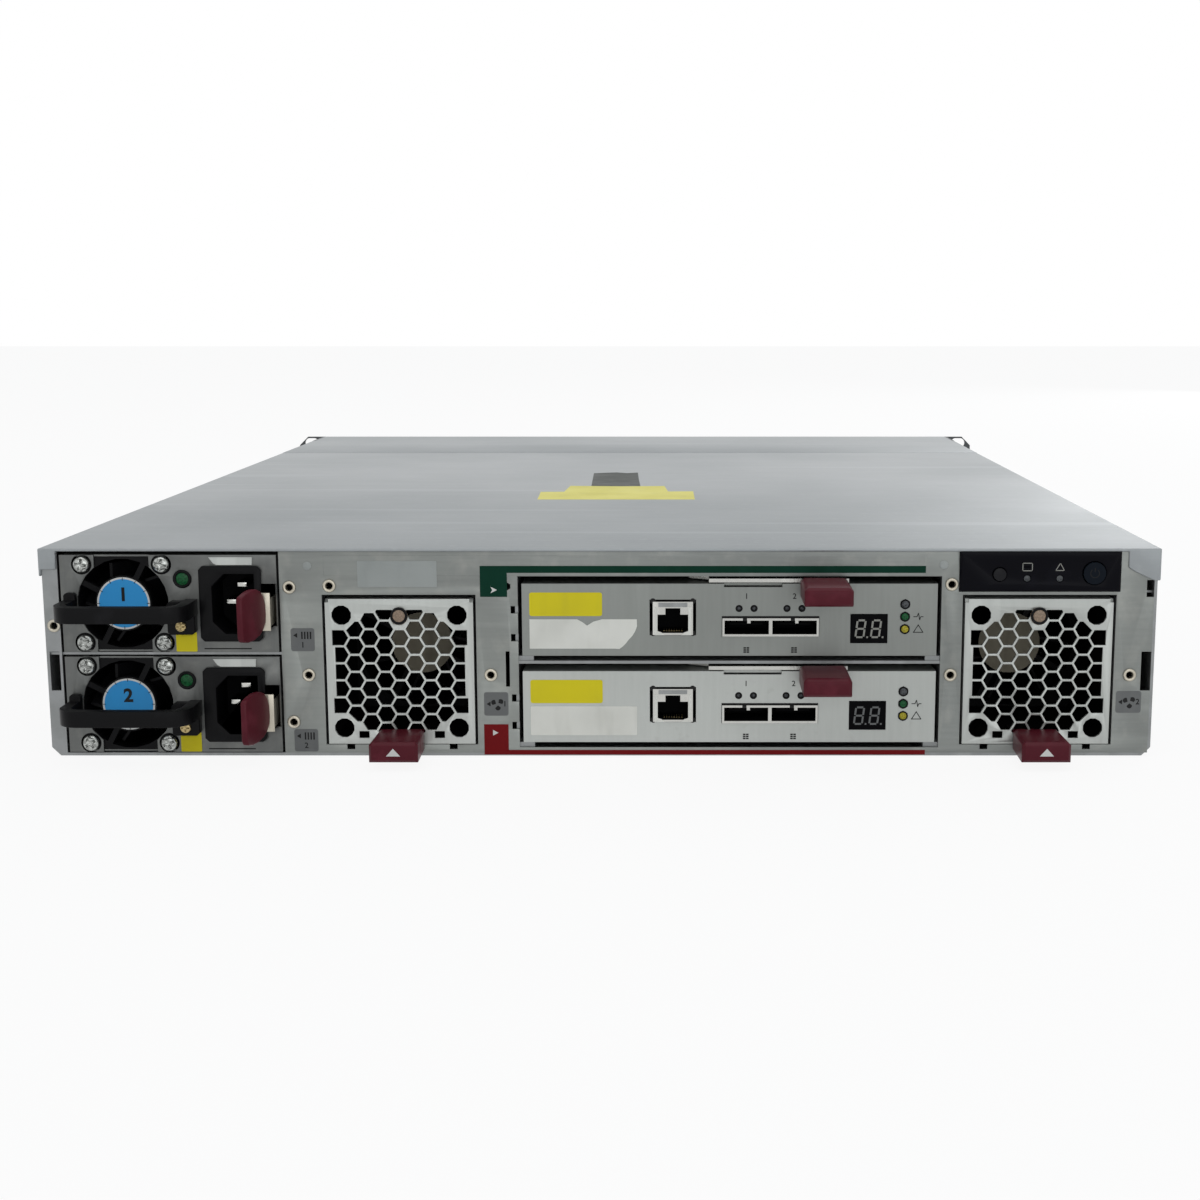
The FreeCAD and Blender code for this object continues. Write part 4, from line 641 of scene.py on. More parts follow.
supply = {
    "fan": (24.7, 19.7), "screwPitch": 31.8, "hubRadius": 10.6,
    "hubRim": [(0.0, 0.02), (0.0, 0.14), (0.7, 0.15)], "hubLabel": [(0.75, 0.1), (0.75, 0.22), (10.4, 0.24)],
    "ticks": {"count": 12, "inner": 1.3, "outer": 0.1, "halfAngle": 0.012},
    "numberRise": 3.4, "numberSize": 7.5,
    "lamp": (48.8, 29.7), "lampRadii": (3.65, 2.55), "label": (45.3, 53.7, 0.15, 8.2),
    "foot": (48.7, 11.2), "footThick": 4.5, "bandHalf": 11.0, "screwHole": 4.1, "sheet": 1.2,
    "screw": {"headRadius": 3.3, "headRise": 1.9, "shank": 1.0,
              "recessReach": 0.7, "recessHalf": 0.5, "recessDepth": 1.1},
    "footScrew": {"headRadius": 2.2, "headRise": 1.1, "shank": 1.0,
                  "recessReach": 0.7, "recessHalf": 0.3, "recessDepth": 0.5},
    "topTab": [(-19.6, 1.2), (-2.2, 1.2), (-2.4, -1.9), (-16.6, -1.9), (-17.8, -1.2)],
    "tabPlace": (-1.0, 2.4),
    "underSlot": (56.5, 75.5, 1.1, 1.6), "armSlot": (-4.6, 10.5, 27.8),
    "cavityDepth": 16.5, "contactSides": (6.0, 3.5), "contactDepth": (4.9, 6.0),
    "armInset": 2.2, "plate": (5.8, 0.8, 9.2, 24.6), "plateOff": 2.6, "arm": (1.0, 11.0, 22.0),
    "pivot": {"depth": 24.0, "half": 1.2, "left": 1.6, "right": 0.6, "beyond": 2.2},
    "paddleThick": 2.4, "paddleLean": 0.278,
    "paddle": [(21.4, 9.6), (21.4, 24.6), (20.6, 25.8), (17.5, 26.8), (13.5, 27.4), (10.0, 27.2), (7.0, 26.0),
               (4.8, 23.6), (3.5, 20.0), (3.2, 16.0), (3.8, 12.6), (5.6, 10.0), (8.6, 8.2), (12.5, 7.2),
               (17.0, 7.0), (20.4, 7.8)],
}
screwModel = crossScrew(supply["screw"])
footScrew = crossScrew(supply["footScrew"])


def hubTicks(x, z, radius, settings):
    # short marks round the rim of the hub's label
    half, inner, outer = settings["halfAngle"], radius - settings["inner"], radius - settings["outer"]
    marks = []
    for turn in range(settings["count"]):
        middle = 2 * math.pi * turn / settings["count"]
        marks.append([polar(x, z, reach, middle + side)
                      for reach, side in ((inner, -half), (outer, -half), (outer, half), (inner, half))])
    return marks


for number in (1, 2):
    name = "psu_%d" % number
    tag = "psu%d" % number
    x0, x1, _, _, z0, z1 = nodeBox(name + "_case")
    fx, fz = x0 + supply["fan"][0], z0 + supply["fan"][1]
    hub, hubFront = supply["hubRadius"], rear - nodeBox(name + "_fan_frame")[2]
    for part, look, key in (("HubRim", "inkWhite", "hubRim"), ("HubLabel", "labelBlue", "hubLabel")):
        profile = [(hub - inwards, hubFront + lift) for inwards, lift in supply[key]]
        disc(tag + part, fx, fz, profile, look, name)
    joinSlabs(tag + "HubTicks", hubTicks(fx, fz, hub, supply["ticks"]), "inkBlack", name, "black_plastic",
              back=hubFront + 0.22)
    numeral(tag + "Number", str(number), fx, fz + supply["numberRise"], hubFront + 0.24, supply["numberSize"],
            "inkBlack", name, bold=0.25)
    half = supply["screwPitch"] / 2
    places = [(fx + dx, rear, fz + dz) for dx in (-half, half) for dz in (-half, half)]
    screws = setOutPieces(tag + "Screws", screwModel, places, "screwSteel", name,
                          turnRange=1.4)
    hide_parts(name + "_screws")
    setOutPieces(tag + "FootScrew", footScrew,
                 [(x0 + supply["foot"][0], rear - supply["footThick"], z0 + supply["foot"][1])],
                 "brassPlate", name)
    lx, lz = x0 + supply["lamp"][0], z0 + supply["lamp"][1]
    outer, inner = supply["lampRadii"]
    collar(tag + "LampRing", lx, lz, outer, inner, 0.0, 0.55, "blackPlastic", name)
    dome(tag + "Lamp", lx, lz, inner, 0.05, 0.5, "lensGreen", name)
    joinSlabs(tag + "Caution", [roundedOutline(*shifted(x0, z0, supply["label"]), radius=0.4, steps=2)],
              "labelYellow", name, "module_steel", thick=0.12)

    # the sheet is open above and below the fan, round the spring and over the inlet
    armX = x1 - supply["armInset"]
    band, sheet = supply["bandHalf"], supply["sheet"]
    inletX0, inletX1, _, _, _, inletTop = nodeBox(name + "_inlet")
    slotLeft, slotLow, slotHigh = supply["armSlot"]
    cutters = [blocks((fx - band, fx + band, rear - 0.5, rear + sheet, z0 - 1, z1 + 1)),
               blocks((armX + slotLeft, x1 - 0.1, rear - 0.5, rear + sheet, z0 + slotLow, z0 + slotHigh)),
               blocks((inletX0, inletX1, rear - 3, rear - 0.02, inletTop + 0.05, z1 + 0.5))]
    cutters += [upright(circle(x, z, supply["screwHole"]), rear - 0.5, rear + sheet) for x, y, z in places]
    softEdges(name + "_case", width=0.15, cutters=cutters)
    tabX, tabZ = inletX1 + supply["tabPlace"][0], inletTop + supply["tabPlace"][1]
    joinSlabs(tag + "TopTab", [[(tabX + px, tabZ + pz) for px, pz in supply["topTab"]]], "moduleSteel",
              name, "module_steel", back=-0.05, thick=0.9)
    # painted shade: a black slab stands for the dark inside of a slot
    joinSlabs(tag + "UnderSlot", [rect(*shifted(x0, z0, supply["underSlot"]))], "inkBlack", name,
              "module_steel")
    left, right = supply["contactSides"]
    near, far = supply["contactDepth"]
    # painted shade: the inside of the inlet is coloured near black
    paintFaces(name + "_inlet", "darkCavity", lambda c: rear + 0.1 < c.y < rear + supply["cavityDepth"])
    paintFaces(name + "_inlet", "brightSteel",
               lambda c: rear + near < c.y < rear + far and inletX0 + left < c.x < inletX1 - right)
    softEdges(name + "_inlet", width=0.3)

    # the latch: a bent spring with a moulded paddle on it
    wide, thick, plateLow, plateHigh = supply["plate"]
    armThick, armLow, armHigh = supply["arm"]
    off, pivot = supply["plateOff"], supply["pivot"]
    pivotY = rear + pivot["depth"]
    bent = blocks((armX - wide, armX, rear - off - thick, rear - off, z0 + plateLow, z0 + plateHigh),
                  (armX - armThick, armX, rear - off + 0.01, pivotY, z0 + armLow, z0 + armHigh),
                  (armX - pivot["left"], armX + pivot["right"], pivotY - pivot["half"],
                   pivotY + pivot["half"], z0 + armLow - pivot["beyond"], z0 + armHigh + pivot["beyond"]))
    spring = addPiece(tag + "Spring", easedMesh(meshFrom("spring", *bent), width=0.2), "warmSteel",
                      name + "_latch", smooth=True)
    spring.data.set_sharp_from_angle(angle=math.radians(40))
    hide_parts(name + "_latch")
    lean, halfThick = supply["paddleLean"], supply["paddleThick"] / 2
    near, far = [[(armX - wide / 2 + side - (back - off - thick) * lean, rear - back, z0 + rise)
                  for back, rise in supply["paddle"]] for side in (-halfThick, halfThick)]
    paddle = easedMesh(meshFrom("paddle", *prism(near, far)), width=0.5, segments=3)
    addPiece(tag + "Paddle", paddle, "maroonPlastic", name + "_latch", smooth=True)
    softEdges(name + "_handle", width=0.9, segments=3)
print("power supplies dressed")


fanModule = {
    "guideRise": 23.0, "guideRadii": (3.5, 2.5), "arrow": (2.8, 3.1), "arrowRise": 0.2, "hubLabel": 13.4,
    "cell": [(20.67, 14.0), (22.46, 17.1), (27.15, 17.1), (27.15, 10.9), (22.46, 10.9)], "notch": 1.4,
    "inside": {"skin": 0.5, "from": 1.15, "to": 104.0},
}
nut = {"steps": 20, "profile": [(2.2, -3.0), (2.2, 0.0), (2.65, 0.05), (2.6, 0.4), (2.25, 0.72), (1.75, 0.7),
                                (1.38, 0.3), (1.38, -3.0)]}


def islandCentres(node):
    # the middle of each loose part of a node
    work = bmesh.new()
    work.from_mesh(frame["nodes"][node].data)
    bmesh.ops.remove_doubles(work, verts=work.verts, dist=1e-6)
    left = set(work.verts)
    centres = []
    while left:
        reached = [left.pop()]
        for corner in reached:
            for edge in corner.link_edges:
                other = edge.other_vert(corner)
                if other in left:
                    left.remove(other)
                    reached.append(other)
        xs, zs = [c.co.x for c in reached], [c.co.z for c in reached]
        centres.append(((min(xs) + max(xs)) / 2 / mm, (min(zs) + max(zs)) / 2 / mm))
    work.free()
    return sorted(centres)


nutRings = setOutPieces("rearNuts", meshFrom("nutRing", *turned(nut["profile"], 0, 0, nut["steps"], 0, True)),
                        [(x, rear, z) for x, z in islandCentres("threaded_inserts")], "warmSteel", "root")
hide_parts("threaded_inserts")
for number in (1, 2):
    name = "fan_%d" % number
    tag = "fan%d" % number
    x0, x1, _, _, z0, z1 = nodeBox(name + "_housing")
    cx, cz = (x0 + x1) / 2, (z0 + z1) / 2
    guideZ = cz + fanModule["guideRise"]
    outer, inner = fanModule["guideRadii"]
    collar(tag + "GuideRing", cx, guideZ, outer, inner, 0.8, 0.35, "blackPlastic", name)
    dome(tag + "GuideLens", cx, guideZ, inner, 0.85, 0.35, "lensBeige", name)
    # painted light: a beige disc on the fan's hub stands for the light seen through the grille
    reach, hubBack = fanModule["hubLabel"], rear - nodeBox(name + "_frame")[2]
    disc(tag + "HubLabel", cx, cz, [(reach, hubBack + 0.02), (reach, hubBack + 0.12), (0.2, hubBack + 0.14)],
         "labelBeige", name)
    _, _, gripY, _, gripLow, gripHigh = nodeBox(name + "_latch")
    softEdges(name + "_latch", width=0.5, segments=3)
    inside = fanModule["inside"]
    halfX, halfZ = (x1 - x0) / 2 - inside["skin"], (z1 - z0) / 2 - inside["skin"]
    # painted shade: the housing's inner walls behind the grille are coloured near black
    paintFaces(name + "_housing", "darkCavity",
               lambda c: rear + inside["from"] < c.y < rear + inside["to"]
               and abs(c.x - cx) < halfX and abs(c.z - cz) < halfZ)
    notch = fanModule["notch"]
    cutters = [upright([(cx + sx * px, cz + sz * pz) for px, pz in fanModule["cell"]], rear - 0.5, rear + 1.6)
               for sx in (-1, 1) for sz in (-1, 1)]
    cutters.append(blocks((x0 - 1, x0 + notch, rear - 0.5, rear + 1.1, z1 - notch, z1 + 1),
                          (x1 - notch, x1 + 1, rear - 0.5, rear + 1.1, z1 - notch, z1 + 1)))
    softEdges(name + "_housing", width=0.14, segments=1, cutters=cutters)
    wide, tall = fanModule["arrow"]
    arrowZ = (gripLow + gripHigh) / 2 + fanModule["arrowRise"]
    joinSlabs(tag + "Arrow", [triangle(cx, arrowZ, wide, -tall / 2, tall / 2)], "inkWhite", name + "_latch",
              "maroon_plastic", back=rear - gripY - 0.1, thick=0.14)
print("fan modules dressed")


module = {
    "caution": (3.0, 32.2, 16.2, 25.8), "note": (3.0, 46.1, 2.9, 14.9),
    "ports": (90.1, 109.3), "portLights": 19.3, "lightPair": 6.0, "lightRadii": (1.45, 0.8),
    "portNumber": (4.9, 3.2), "portMark": (-1.15, -0.1, 1.2, 1.8), "markPitch": (1.25, 0.85),
    "display": (19.8, 15.0, 5.1, 12.0), "digitPlaces": (-3.4, 2.8),
    "digit": {"wide": 4.0, "tall": 7.6, "bar": 0.75, "lean": 0.12, "gap": 0.28, "point": (0.75, 1.45, 0.7)},
    "status": (12.9, 10.9, 5.05), "statusRadii": (2.0, 1.45), "markOff": 5.4,
    "beat": [(-2.0, 0), (-0.6, 0), (0, 1.5), (0.5, -1.3), (0.9, 0), (2.0, 0)], "warning": (1.9, -1.3, 1.7),
    "markLine": 0.32,
    "cageShade": (0.2, 0.05, 0.8), "mouthDrop": 1.1, "cageTab": (0.3, 1.6, -0.9, 0.4),
    "cageNotch": (-1.5, 0.2), "cageDepth": 14.6,
    "jack": {"halfMouth": 6.3, "depth": 13.0, "leg": (6.2, 7.4, 2.2),
             "cornerOff": 8.0, "cornerRadius": 1.15, "cornerRise": (0.6, 0.2),
             "foot": [(6.2, 0.0), (6.2, 1.6), (4.6, 1.1), (3.4, 0.0)], "brow": (5.8, 2.1, 0.4)},
    "contact": {"half": (0.21, 2.5, 0.15), "count": 8, "pitch": 1.02, "depth": 5.0, "rise": 1.15},
}


def digitBars(x, z, settings):
    # the seven bars of one display digit and its point
    w, t, b, g = settings["wide"] / 2, settings["tall"] / 2, settings["bar"], settings["gap"]
    ends = w - b * 0.6 - g
    ranges = [(-ends, ends, low, low + b) for low in (-t, -b / 2, t - b)]
    for side in (-w + b / 2, w - b / 2):
        for low, high in ((-t + g + b * 0.5, -g), (g, t - g - b * 0.5)):
            ranges.append((side - b / 2, side + b / 2, low, high))
    near, far, tall = settings["point"]
    ranges.append((w + near, w + far, -t, -t + tall))
    return [[(x + px + pz * settings["lean"], z + pz) for px, pz in rect(*bar)] for bar in ranges]


def tornOutline(x0, x1, z0, z1, seed):
    # a label with one corner torn away and a notch in its top edge
    rng = random.Random(seed)
    outline = [(x0, z0), (x1 - 9, z0)]
    steps = 8
    for step in range(steps + 1):
        share = step / steps
        outline.append((x1 - 7 * (1 - share) ** 1.6 + rng.uniform(-0.25, 0.25),
                        z0 + (z1 - z0) * 0.75 * share + rng.uniform(-0.2, 0.2)))
    notch = [(0.0, 0.0), (14.0, 0.0), (17.5, 1.0), (20.0, 2.6), (21.8, 1.2), (24.0, 0.0)]
    return outline + [(x1 - back, z1 - drop) for back, drop in notch] + [(x0, z1)]


for letter, torn in (("a", True), ("b", False)):
    name = "io_" + letter
    tag = "io" + letter.upper()
    x0, x1, _, _, z0, z1 = nodeBox(name + "_case")
    joinSlabs(tag + "Caution", [roundedOutline(*shifted(x0, z0, module["caution"]), radius=0.9, steps=3)],
              "labelYellow", name, "module_steel", thick=0.12)
    note = shifted(x0, z0, module["note"])
    outline = tornOutline(*note, seed=7) if torn else roundedOutline(*note, radius=0.5, steps=2)
    joinSlabs(tag + "Note", [outline], "labelWhite", name, "module_steel", thick=0.12)
    lightZ = z0 + module["portLights"]
    outer, inner = module["lightRadii"]
    numberRise, numberSize = module["portNumber"]
    stepX, stepZ = module["markPitch"]
    for port, px in enumerate(module["ports"], 1):
        numeral(tag + "Port%d" % port, str(port), x0 + px, lightZ + numberRise, 0.02, numberSize,
                "inkBlack", name, bold=0.03)
        for hand, side in (("L", -1), ("R", 1)):
            lx = x0 + px + side * module["lightPair"] / 2
            collar(tag + "LightRing%d%s" % (port, hand), lx, lightZ, outer, inner, 0.0, 0.08,
                   "blackPlastic", name)
            dome(tag + "Light%d%s" % (port, hand), lx, lightZ, inner, -0.5, 0.3,
                 "lensSmoke", name)
        marks = [rect(*shifted(x0 + px + column * stepX, z0 + row * stepZ, module["portMark"]))
                 for row in range(3) for column in range(2)]
        joinSlabs(tag + "PortMark%d" % port, marks, "inkBlack", name, "module_steel")
    inset, wide, low, tall = module["display"]
    digits = []
    for digitX in module["digitPlaces"]:
        digits += digitBars(x1 - inset - wide / 2 + digitX, z0 + low + tall / 2, module["digit"])
    joinSlabs(tag + "Digits", digits, "inkGrey" if torn else "labelGrey", name, "lens_tinted", back=0.42)
    inset, first, step = module["status"]
    outer, inner = module["statusRadii"]
    for lamp, look in enumerate(("lensYellow", "lensGreen", "lensSmoke")):
        lz = z0 + first + lamp * step
        collar(tag + "LampRing%d" % lamp, x1 - inset, lz, outer, inner, 0.15, 0.25,
               "blackPlastic", name)
        dome(tag + "Lamp%d" % lamp, x1 - inset, lz, inner, 0.2, 0.7, look, name)
    markX = x1 - inset + module["markOff"]
    beat = [(markX + bx, z0 + first + step + bz) for bx, bz in module["beat"]]
    line = module["markLine"]
    joinSlabs(tag + "Beat", [stroke(start, stop, line) for start, stop in zip(beat, beat[1:])], "inkBlack",
              name, "module_steel")
    joinSlabs(tag + "Triangle", frameLines(triangle(markX, z0 + first, *module["warning"]), line),
              "inkBlack", name, "module_steel")

    # painted shade over the storage ports' cage, its tabs, and its notches painted black as shade
    cageX0, cageX1, cageY, _, _, cageTop = nodeBox(name + "_sas_cage")
    side, low, high = module["cageShade"]
    joinSlabs(tag + "CageShade", [rect(cageX0 - side, cageX1 + side, cageTop + low, cageTop + high)],
              "inkBlack", name, "port_steel")
    mouthTop = cageTop - module["mouthDrop"]
    joinSlabs(tag + "CageTabs",
              [rect(*shifted(x0 + px, mouthTop, module["cageTab"])) for px in module["ports"]],
              "brightSteel", name, "port_steel", back=rear - cageY, thick=0.1)
    left, right = module["cageNotch"]
    # painted shade: the notches are black slabs standing for their dark insides
    joinSlabs(tag + "CageNotches",
              [rect(x0 + px + left, x0 + px + right, mouthTop, cageTop) for px in module["ports"]],
              "inkBlack", name, "port_steel", back=rear - cageY, thick=0.06)
    softEdges(name + "_grip", width=0.5, segments=3)

    # shield, mouth and contacts of the network jack
    jack = module["jack"]
    jackX0, jackX1, _, _, jackZ0, jackZ1 = nodeBox(name + "_network_jack")
    jackX = (jackX0 + jackX1) / 2
    # painted shade: the inside of the jack's mouth is coloured near black
    paintFaces(name + "_network_jack", "darkCavity",
               lambda c: rear + 0.5 < c.y < rear + jack["depth"] and abs(c.x - jackX) < jack["halfMouth"])
    # painted shade: the inside of the storage ports' cage is coloured near black
    paintFaces(name + "_sas_cage", "darkCavity", lambda c: rear + 0.5 < c.y < rear + module["cageDepth"])
    inner, outer, drop = jack["leg"]
    legs = [rect(jackX + side * inner, jackX + side * outer, jackZ0, jackZ1 - drop) for side in (-1, 1)]
    legs += [[(jackX + side * fx, jackZ0 + fz) for fx, fz in jack["foot"]] for side in (-1, 1)]
    joinSlabs(tag + "JackLegs", legs, "labelWhite", name, "port_steel", back=0.62, thick=0.2)
    half, low, high = jack["brow"]
    joinSlabs(tag + "JackBrow", [rect(jackX - half, jackX + half, jackZ1 - low, jackZ1 - high)],
              "zincSteel", name, "port_steel", back=0.62, thick=0.12)
    low, high = jack["cornerRise"]
    corners = [circle(jackX + side * jack["cornerOff"], z, jack["cornerRadius"], 16)
               for side in (-1, 1) for z in (jackZ0 + low, jackZ1 + high)]
    joinSlabs(tag + "JackCorners", corners, "inkBlack", name, "port_steel", thick=0.04)
    contact = module["contact"]
    hx, hy, hz = contact["half"]
    middle = (contact["count"] - 1) / 2
    setOutPieces(tag + "Contacts", meshFrom("contact", *blocks((-hx, hx, -hy, hy, -hz, hz))),
                 [(jackX + (k - middle) * contact["pitch"], rear + contact["depth"], jackZ0 + contact["rise"])
                  for k in range(contact["count"])], "brassPlate", name, smooth=False)


chips = {"boardTop": 6.6, "count": 90, "margin": 9.0, "front": 34.0, "clear": 3.0, "smallShare": 0.7,
         "kept": ((0.27, 0.45, 32.0), (0.62, 0.5, 26.0), (0.84, 0.4, 20.0)),
         "kinds": {"Small": ((1.6, 0.8, 0.7), "brassPlate"), "Large": ((3.2, 2.2, 1.3), "blackPlastic")}}


def chipModel(wide, deep, tall):
    # a small component with bright ends, standing on the board
    return meshFrom("chipModel", *blocks(
        (-wide / 2, wide / 2, -deep / 2, deep / 2, 0, tall),
        (-wide / 2 - 0.25, -wide / 2 + 0.3, -deep / 2 - 0.05, deep / 2 + 0.05, 0, tall * 0.9),
        (wide / 2 - 0.3, wide / 2 + 0.25, -deep / 2 - 0.05, deep / 2 + 0.05, 0, tall * 0.9)))


for letter, seed in (("a", 3), ("b", 5)):
    name = "io_" + letter
    x0, x1, y0, y1, z0, z1 = nodeBox(name + "_case")
    wide, deep, boardTop = x1 - x0, y1 - y0, z0 + chips["boardTop"]
    paintFaces(name + "_board", "blackPlastic", lambda c: c.z > boardTop + 0.1)
    rng = random.Random(seed)
    groups = {"Small": [], "Large": []}
    while sum(map(len, groups.values())) < chips["count"]:
        px = x0 + rng.uniform(chips["margin"], wide - chips["margin"])
        py = y0 + rng.uniform(chips["front"], deep - chips["margin"])
        near = any(max(abs(px - x0 - sx * wide), abs(py - y0 - sy * deep)) < side / 2 + chips["clear"]
                   for sx, sy, side in chips["kept"])
        if not near:
            groups["Small" if rng.random() < chips["smallShare"] else "Large"].append((px, py, boardTop))
    for kind, (size, look) in chips["kinds"].items():
        setOutPieces("io%s%sParts" % (letter.upper(), kind), chipModel(*size), groups[kind], look, name,
                     smooth=False)
print("I/O modules dressed")


panel = {
    "greenBlock": (-48.0, -37.2, 65.4, 77.9), "greenStrip": (-48.0, 130.2, 75.1, 77.9),
    "redBlock": (-47.4, -37.5, 0.4, 13.0), "redStrip": (-37.5, 131.5, 0.4, 2.3), "bandProud": 0.1,
    "greenArrow": [(-43.8, 66.9), (-41.2, 68.2), (-43.8, 69.5), (-43.1, 68.2)],
    "redArrow": [(-43.8, 8.3), (-41.6, 9.5), (-43.8, 10.7)], "serial": (-96.9, -65.2, 69.4, 79.9),
    "greyTags": {"supply1": (-124.4, -114.9, 43.2, 52.6, "1", True),
                 "supply2": (-124.4, -114.8, 1.7, 11.0, "2", True),
                 "fan1": (-47.2, -37.4, 16.6, 26.3, "1", False),
                 "fan2": (208.2, 218.4, 17.8, 26.8, "2", False)},
    "bar": (4.2, 4.8, -1.5, 1.5), "barPitch": 1.15, "barRise": 1.8, "digitDrop": 4.0, "digitInset": 1.4,
    "pointer": [(1.0, 0.0), (2.6, -1.0), (2.6, 1.0)], "fanOff": 5.4, "fanRadius": 2.7, "digitSize": 3.2,
    "welds": {"weldLeft": (-116.9, 77.9), "weldRight": (137.4, 78.3)}, "weldRadius": 1.7,
}


def panelPrint(name, outlines, look, **lay):
    joinSlabs(name, outlines, look, "root", "panel_steel", **lay)


def fanMark(x, z, radius):
    # three curved blades round a centre
    blades = []
    steps = 6
    for turn in range(3):
        blade = []
        for step in range(steps + 1):
            reach = radius * (0.72 + 0.28 * math.sin(math.pi * step / steps))
            blade.append(polar(x, z, reach, math.radians(120 * turn + 12 * step)))
        blades.append(blade + [polar(x, z, radius * 0.22, math.radians(120 * turn + 50))])
    return blades


x0, x1, low, high = panel["greenBlock"]
_, end, under, top = panel["greenStrip"]
panelPrint("greenPrint", [[(x0, low), (x1, low), (x1, under), (end, under), (end, top), (x0, top)]],
           "printGreen", back=panel["bandProud"] + 0.02, thick=0.1)
x0, x1, low, high = panel["redBlock"]
_, end, _, top = panel["redStrip"]
panelPrint("redBlock", [[(x0, low), (end, low), (end, top), (x1, top), (x1, high), (x0, high)]], "printRed",
           thick=0.1)
panelPrint("greenArrow", [panel["greenArrow"]], "inkWhite", back=panel["bandProud"] + 0.13, thick=0.04)
panelPrint("redArrow", [panel["redArrow"]], "inkWhite", back=0.13, thick=0.04)
panelPrint("serialTag", [roundedOutline(*panel["serial"], radius=0.4, steps=3)], "labelSilver",
           back=panel["bandProud"] + 0.02, thick=0.1)
for key, (x0, x1, z0, z1, digit, barred) in panel["greyTags"].items():
    panelPrint(key + "Tag", [roundedOutline(x0, x1, z0, z1, radius=0.9, steps=3)], "labelGrey", thick=0.1)
    mid = (z0 + z1) / 2 + (panel["barRise"] if barred else 0.0)
    marks = [[(x0 + px, mid + pz) for px, pz in panel["pointer"]]]
    if barred:
        marks += [rect(*shifted(x0 + k * panel["barPitch"], mid, panel["bar"])) for k in range(4)]
        digitX, digitZ = (x0 + x1) / 2, mid - panel["digitDrop"]
    else:
        marks += fanMark(x0 + panel["fanOff"], mid, panel["fanRadius"])
        digitX, digitZ = x1 - panel["digitInset"], mid
    panelPrint(key + "Marks", marks, "inkBlack", back=0.13, thick=0.04)
    numeral(key + "Digit", digit, digitX, digitZ, 0.13, panel["digitSize"], "inkBlack", "root",
            bold=0.04)
for key, (x, z) in panel["welds"].items():
    dome(key, x, z, panel["weldRadius"], panel["bandProud"], 0.28, "labelSilver", "root")
print("rear panel dressed")


control = {
    "power": (53.7, 7.7), "ringRadii": (1.6, 1.888), "ringAngles": (125, 416, 15),
    "powerBar": (-0.16, 0.16, 0.5, 2.2), "lights": (26.9, 39.9), "lightZ": 5.5, "lightRadius": 1.3,
    "markZ": 10.2, "markSize": 1.9, "line": 0.3,
}
bezelX, _, bezelY, _, bezelZ, _ = nodeBox("control_bezel")
bezelFront = rear - bezelY
for index, lx in enumerate(control["lights"], 1):
    dome("panelLight%d" % index, bezelX + lx, bezelZ + control["lightZ"], control["lightRadius"],
         bezelFront - 0.3, 0.35, "lensSmoke", "root")
size, line, markZ = control["markSize"], control["line"], bezelZ + control["markZ"]
boxX, triangleX = [bezelX + lx for lx in control["lights"]]
box = frameLines(rect(boxX - size, boxX + size, markZ - size * 0.8, markZ + size * 0.8), line)
box += frameLines([(boxX - 1.0, markZ), (boxX + 1.0, markZ)], line)
joinSlabs("panelBoxMark", box, "inkGrey", "root", "black_gloss", back=bezelFront + 0.01, thick=0.04)
corners = triangle(triangleX, markZ, size * 0.9, -size * 0.75, size * 0.8)
joinSlabs("panelTriangleMark", frameLines(corners, line), "inkGrey", "root", "black_gloss",
          back=bezelFront + 0.01, thick=0.04)
px, pz = bezelX + control["power"][0], bezelZ + control["power"][1]
inner, outer = [[polar(px, pz, radius, math.radians(angle)) for angle in range(*control["ringAngles"])]
                for radius in control["ringRadii"]]
ring = [[inner[k], inner[k + 1], outer[k + 1], outer[k]] for k in range(len(inner) - 1)]
ring.append(rect(*shifted(px, pz, control["powerBar"])))
buttonFront = rear - nodeBox("power_button")[2]
joinSlabs("powerMark", ring, "inkBlack", "power_button", "black_gloss", back=buttonFront - 0.02)
print("control panel dressed")


roof = {     # outlines in X and distance from the rear face
    "roofFoil": {"lift": 0.02, "look": "labelFoil",
                 "outline": [(-14.5, 226), (11.8, 226), (9.8, 268), (8.2, 312), (2, 309), (-4, 313),
                             (-10, 311), (-16.8, 308)]},
    "roofBand": {"lift": 0.04, "look": "roofYellow",
                 "outline": [(-38.5, 174), (39.5, 174), (39.0, 212), (26, 211), (24, 238), (0, 236.5),
                             (-26, 239), (-27.5, 210), (-39.5, 209)]},
}
for key, label in roof.items():
    under, over = [[(x, rear + y, coverZ / mm + rise) for x, y in label["outline"]]
                   for rise in (-0.1, label["lift"])]
    addPiece(key, meshFrom(key, *prism(under, over)), label["look"], "root")
print("roof labels placed")


studio = {
    "floorHalf": 6.0, "floorDrop": 0.0004, "floorGlow": 0.9, "worldLight": 0.6,
    "lamps": {
        "keyLamp": {"place": (0.1, -0.7, 2.2), "aim": (0, -0.1, 0.04), "size": (1.8, 1.4), "power": 8.5,
                    "tint": (1.0, 0.99, 0.97)},
        "fillLamp": {"place": (0.5, -2.0, 0.5), "aim": (0, -0.2, 0.04), "size": (1.6, 0.8), "power": 4.5,
                     "tint": (0.97, 0.99, 1.0)},
        "sideLamp": {"place": (1.7, 1.5, 0.8), "aim": (0, 0, 0.06), "size": (2.6, 1.6), "power": 19.0,
                     "tint": (1.0, 1.0, 1.0)}},
}
floorMesh = bpy.data.meshes.new("floor")
half = studio["floorHalf"]
floorMesh.from_pydata([(x, y, -studio["floorDrop"]) for x, y in rect(-half, half, -half, half)], [],
                      [(0, 1, 2, 3)])
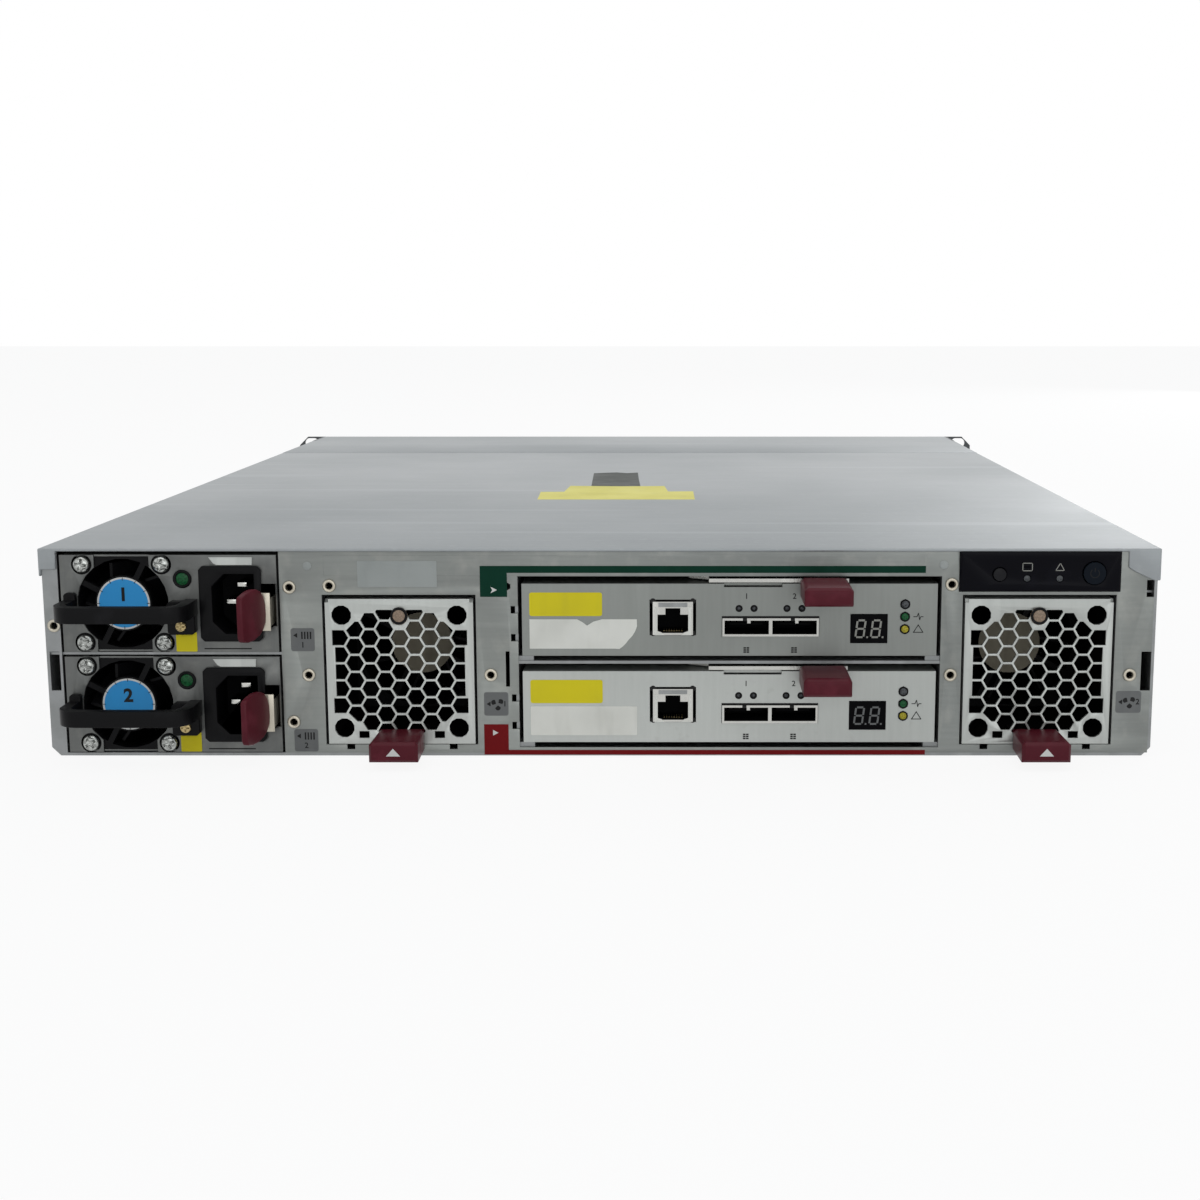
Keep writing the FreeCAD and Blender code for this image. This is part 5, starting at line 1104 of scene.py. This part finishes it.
paper = Finish("floorPaper", Roughness=0.9, Base_Color=(0.82, 0.82, 0.82, 1))
glow = paper.node("ShaderNodeEmission", None, {"Color": (1, 1, 1, 1), "Strength": 1.0})
mixed = paper.node("ShaderNodeMixShader", None, {0: paper.backdropRays() * studio["floorGlow"],
                                                 1: Wire(paper, paper.shader.outputs[0]), 2: glow})
paper.tree.links.new(mixed.socket, paper.tree.nodes["Material Output"].inputs["Surface"])
floorMesh.materials.append(paper.material)
looseObject("floor", floorMesh)

world = bpy.data.worlds.new("studio")
world.use_nodes = True
bpy.context.scene.world = world
sky = Nodes(world.node_tree)
sky.tree.nodes.clear()
out = sky.tree.nodes.new("ShaderNodeOutputWorld")
seen = sky.node("ShaderNodeBackground", None, {"Color": (1, 1, 1, 1)})
lighting = sky.node("ShaderNodeBackground", None, {"Color": (0.94, 0.97, 1.0, 1),
                                                   "Strength": studio["worldLight"]})
both = sky.node("ShaderNodeMixShader", None, {0: sky.backdropRays(), 1: lighting, 2: seen})
sky.tree.links.new(both.socket, out.inputs["Surface"])


def softLamp(name, place, aim, size, power, tint):
    lamp = bpy.data.lights.new(name, "AREA")
    lamp.shape = "RECTANGLE"
    lamp.size, lamp.size_y = size
    lamp.energy = power
    lamp.color = tint
    holder = looseObject(name, lamp)
    holder.location = place
    holder.rotation_euler = (Vector(aim) - Vector(place)).to_track_quat("-Z", "Y").to_euler()


for lampName, settings in studio["lamps"].items():
    softLamp(lampName, **settings)

view = {"place": (0.0314, rearY - 0.6999, 0.1831), "pitch": 9.65, "lens": 53.18, "shiftX": -0.0654,
        "sensor": 36.0, "nearest": 0.01}
camera = looseObject("camera", bpy.data.cameras.new("camera"))
camera.data.lens = view["lens"]
camera.data.sensor_width = view["sensor"]
camera.data.shift_x = view["shiftX"]
camera.data.clip_start = view["nearest"]
camera.location = view["place"]
camera.rotation_euler = (math.radians(90 - view["pitch"]), 0, 0)
bpy.context.scene.camera = camera
bpy.context.scene.view_settings.view_transform = "Standard"
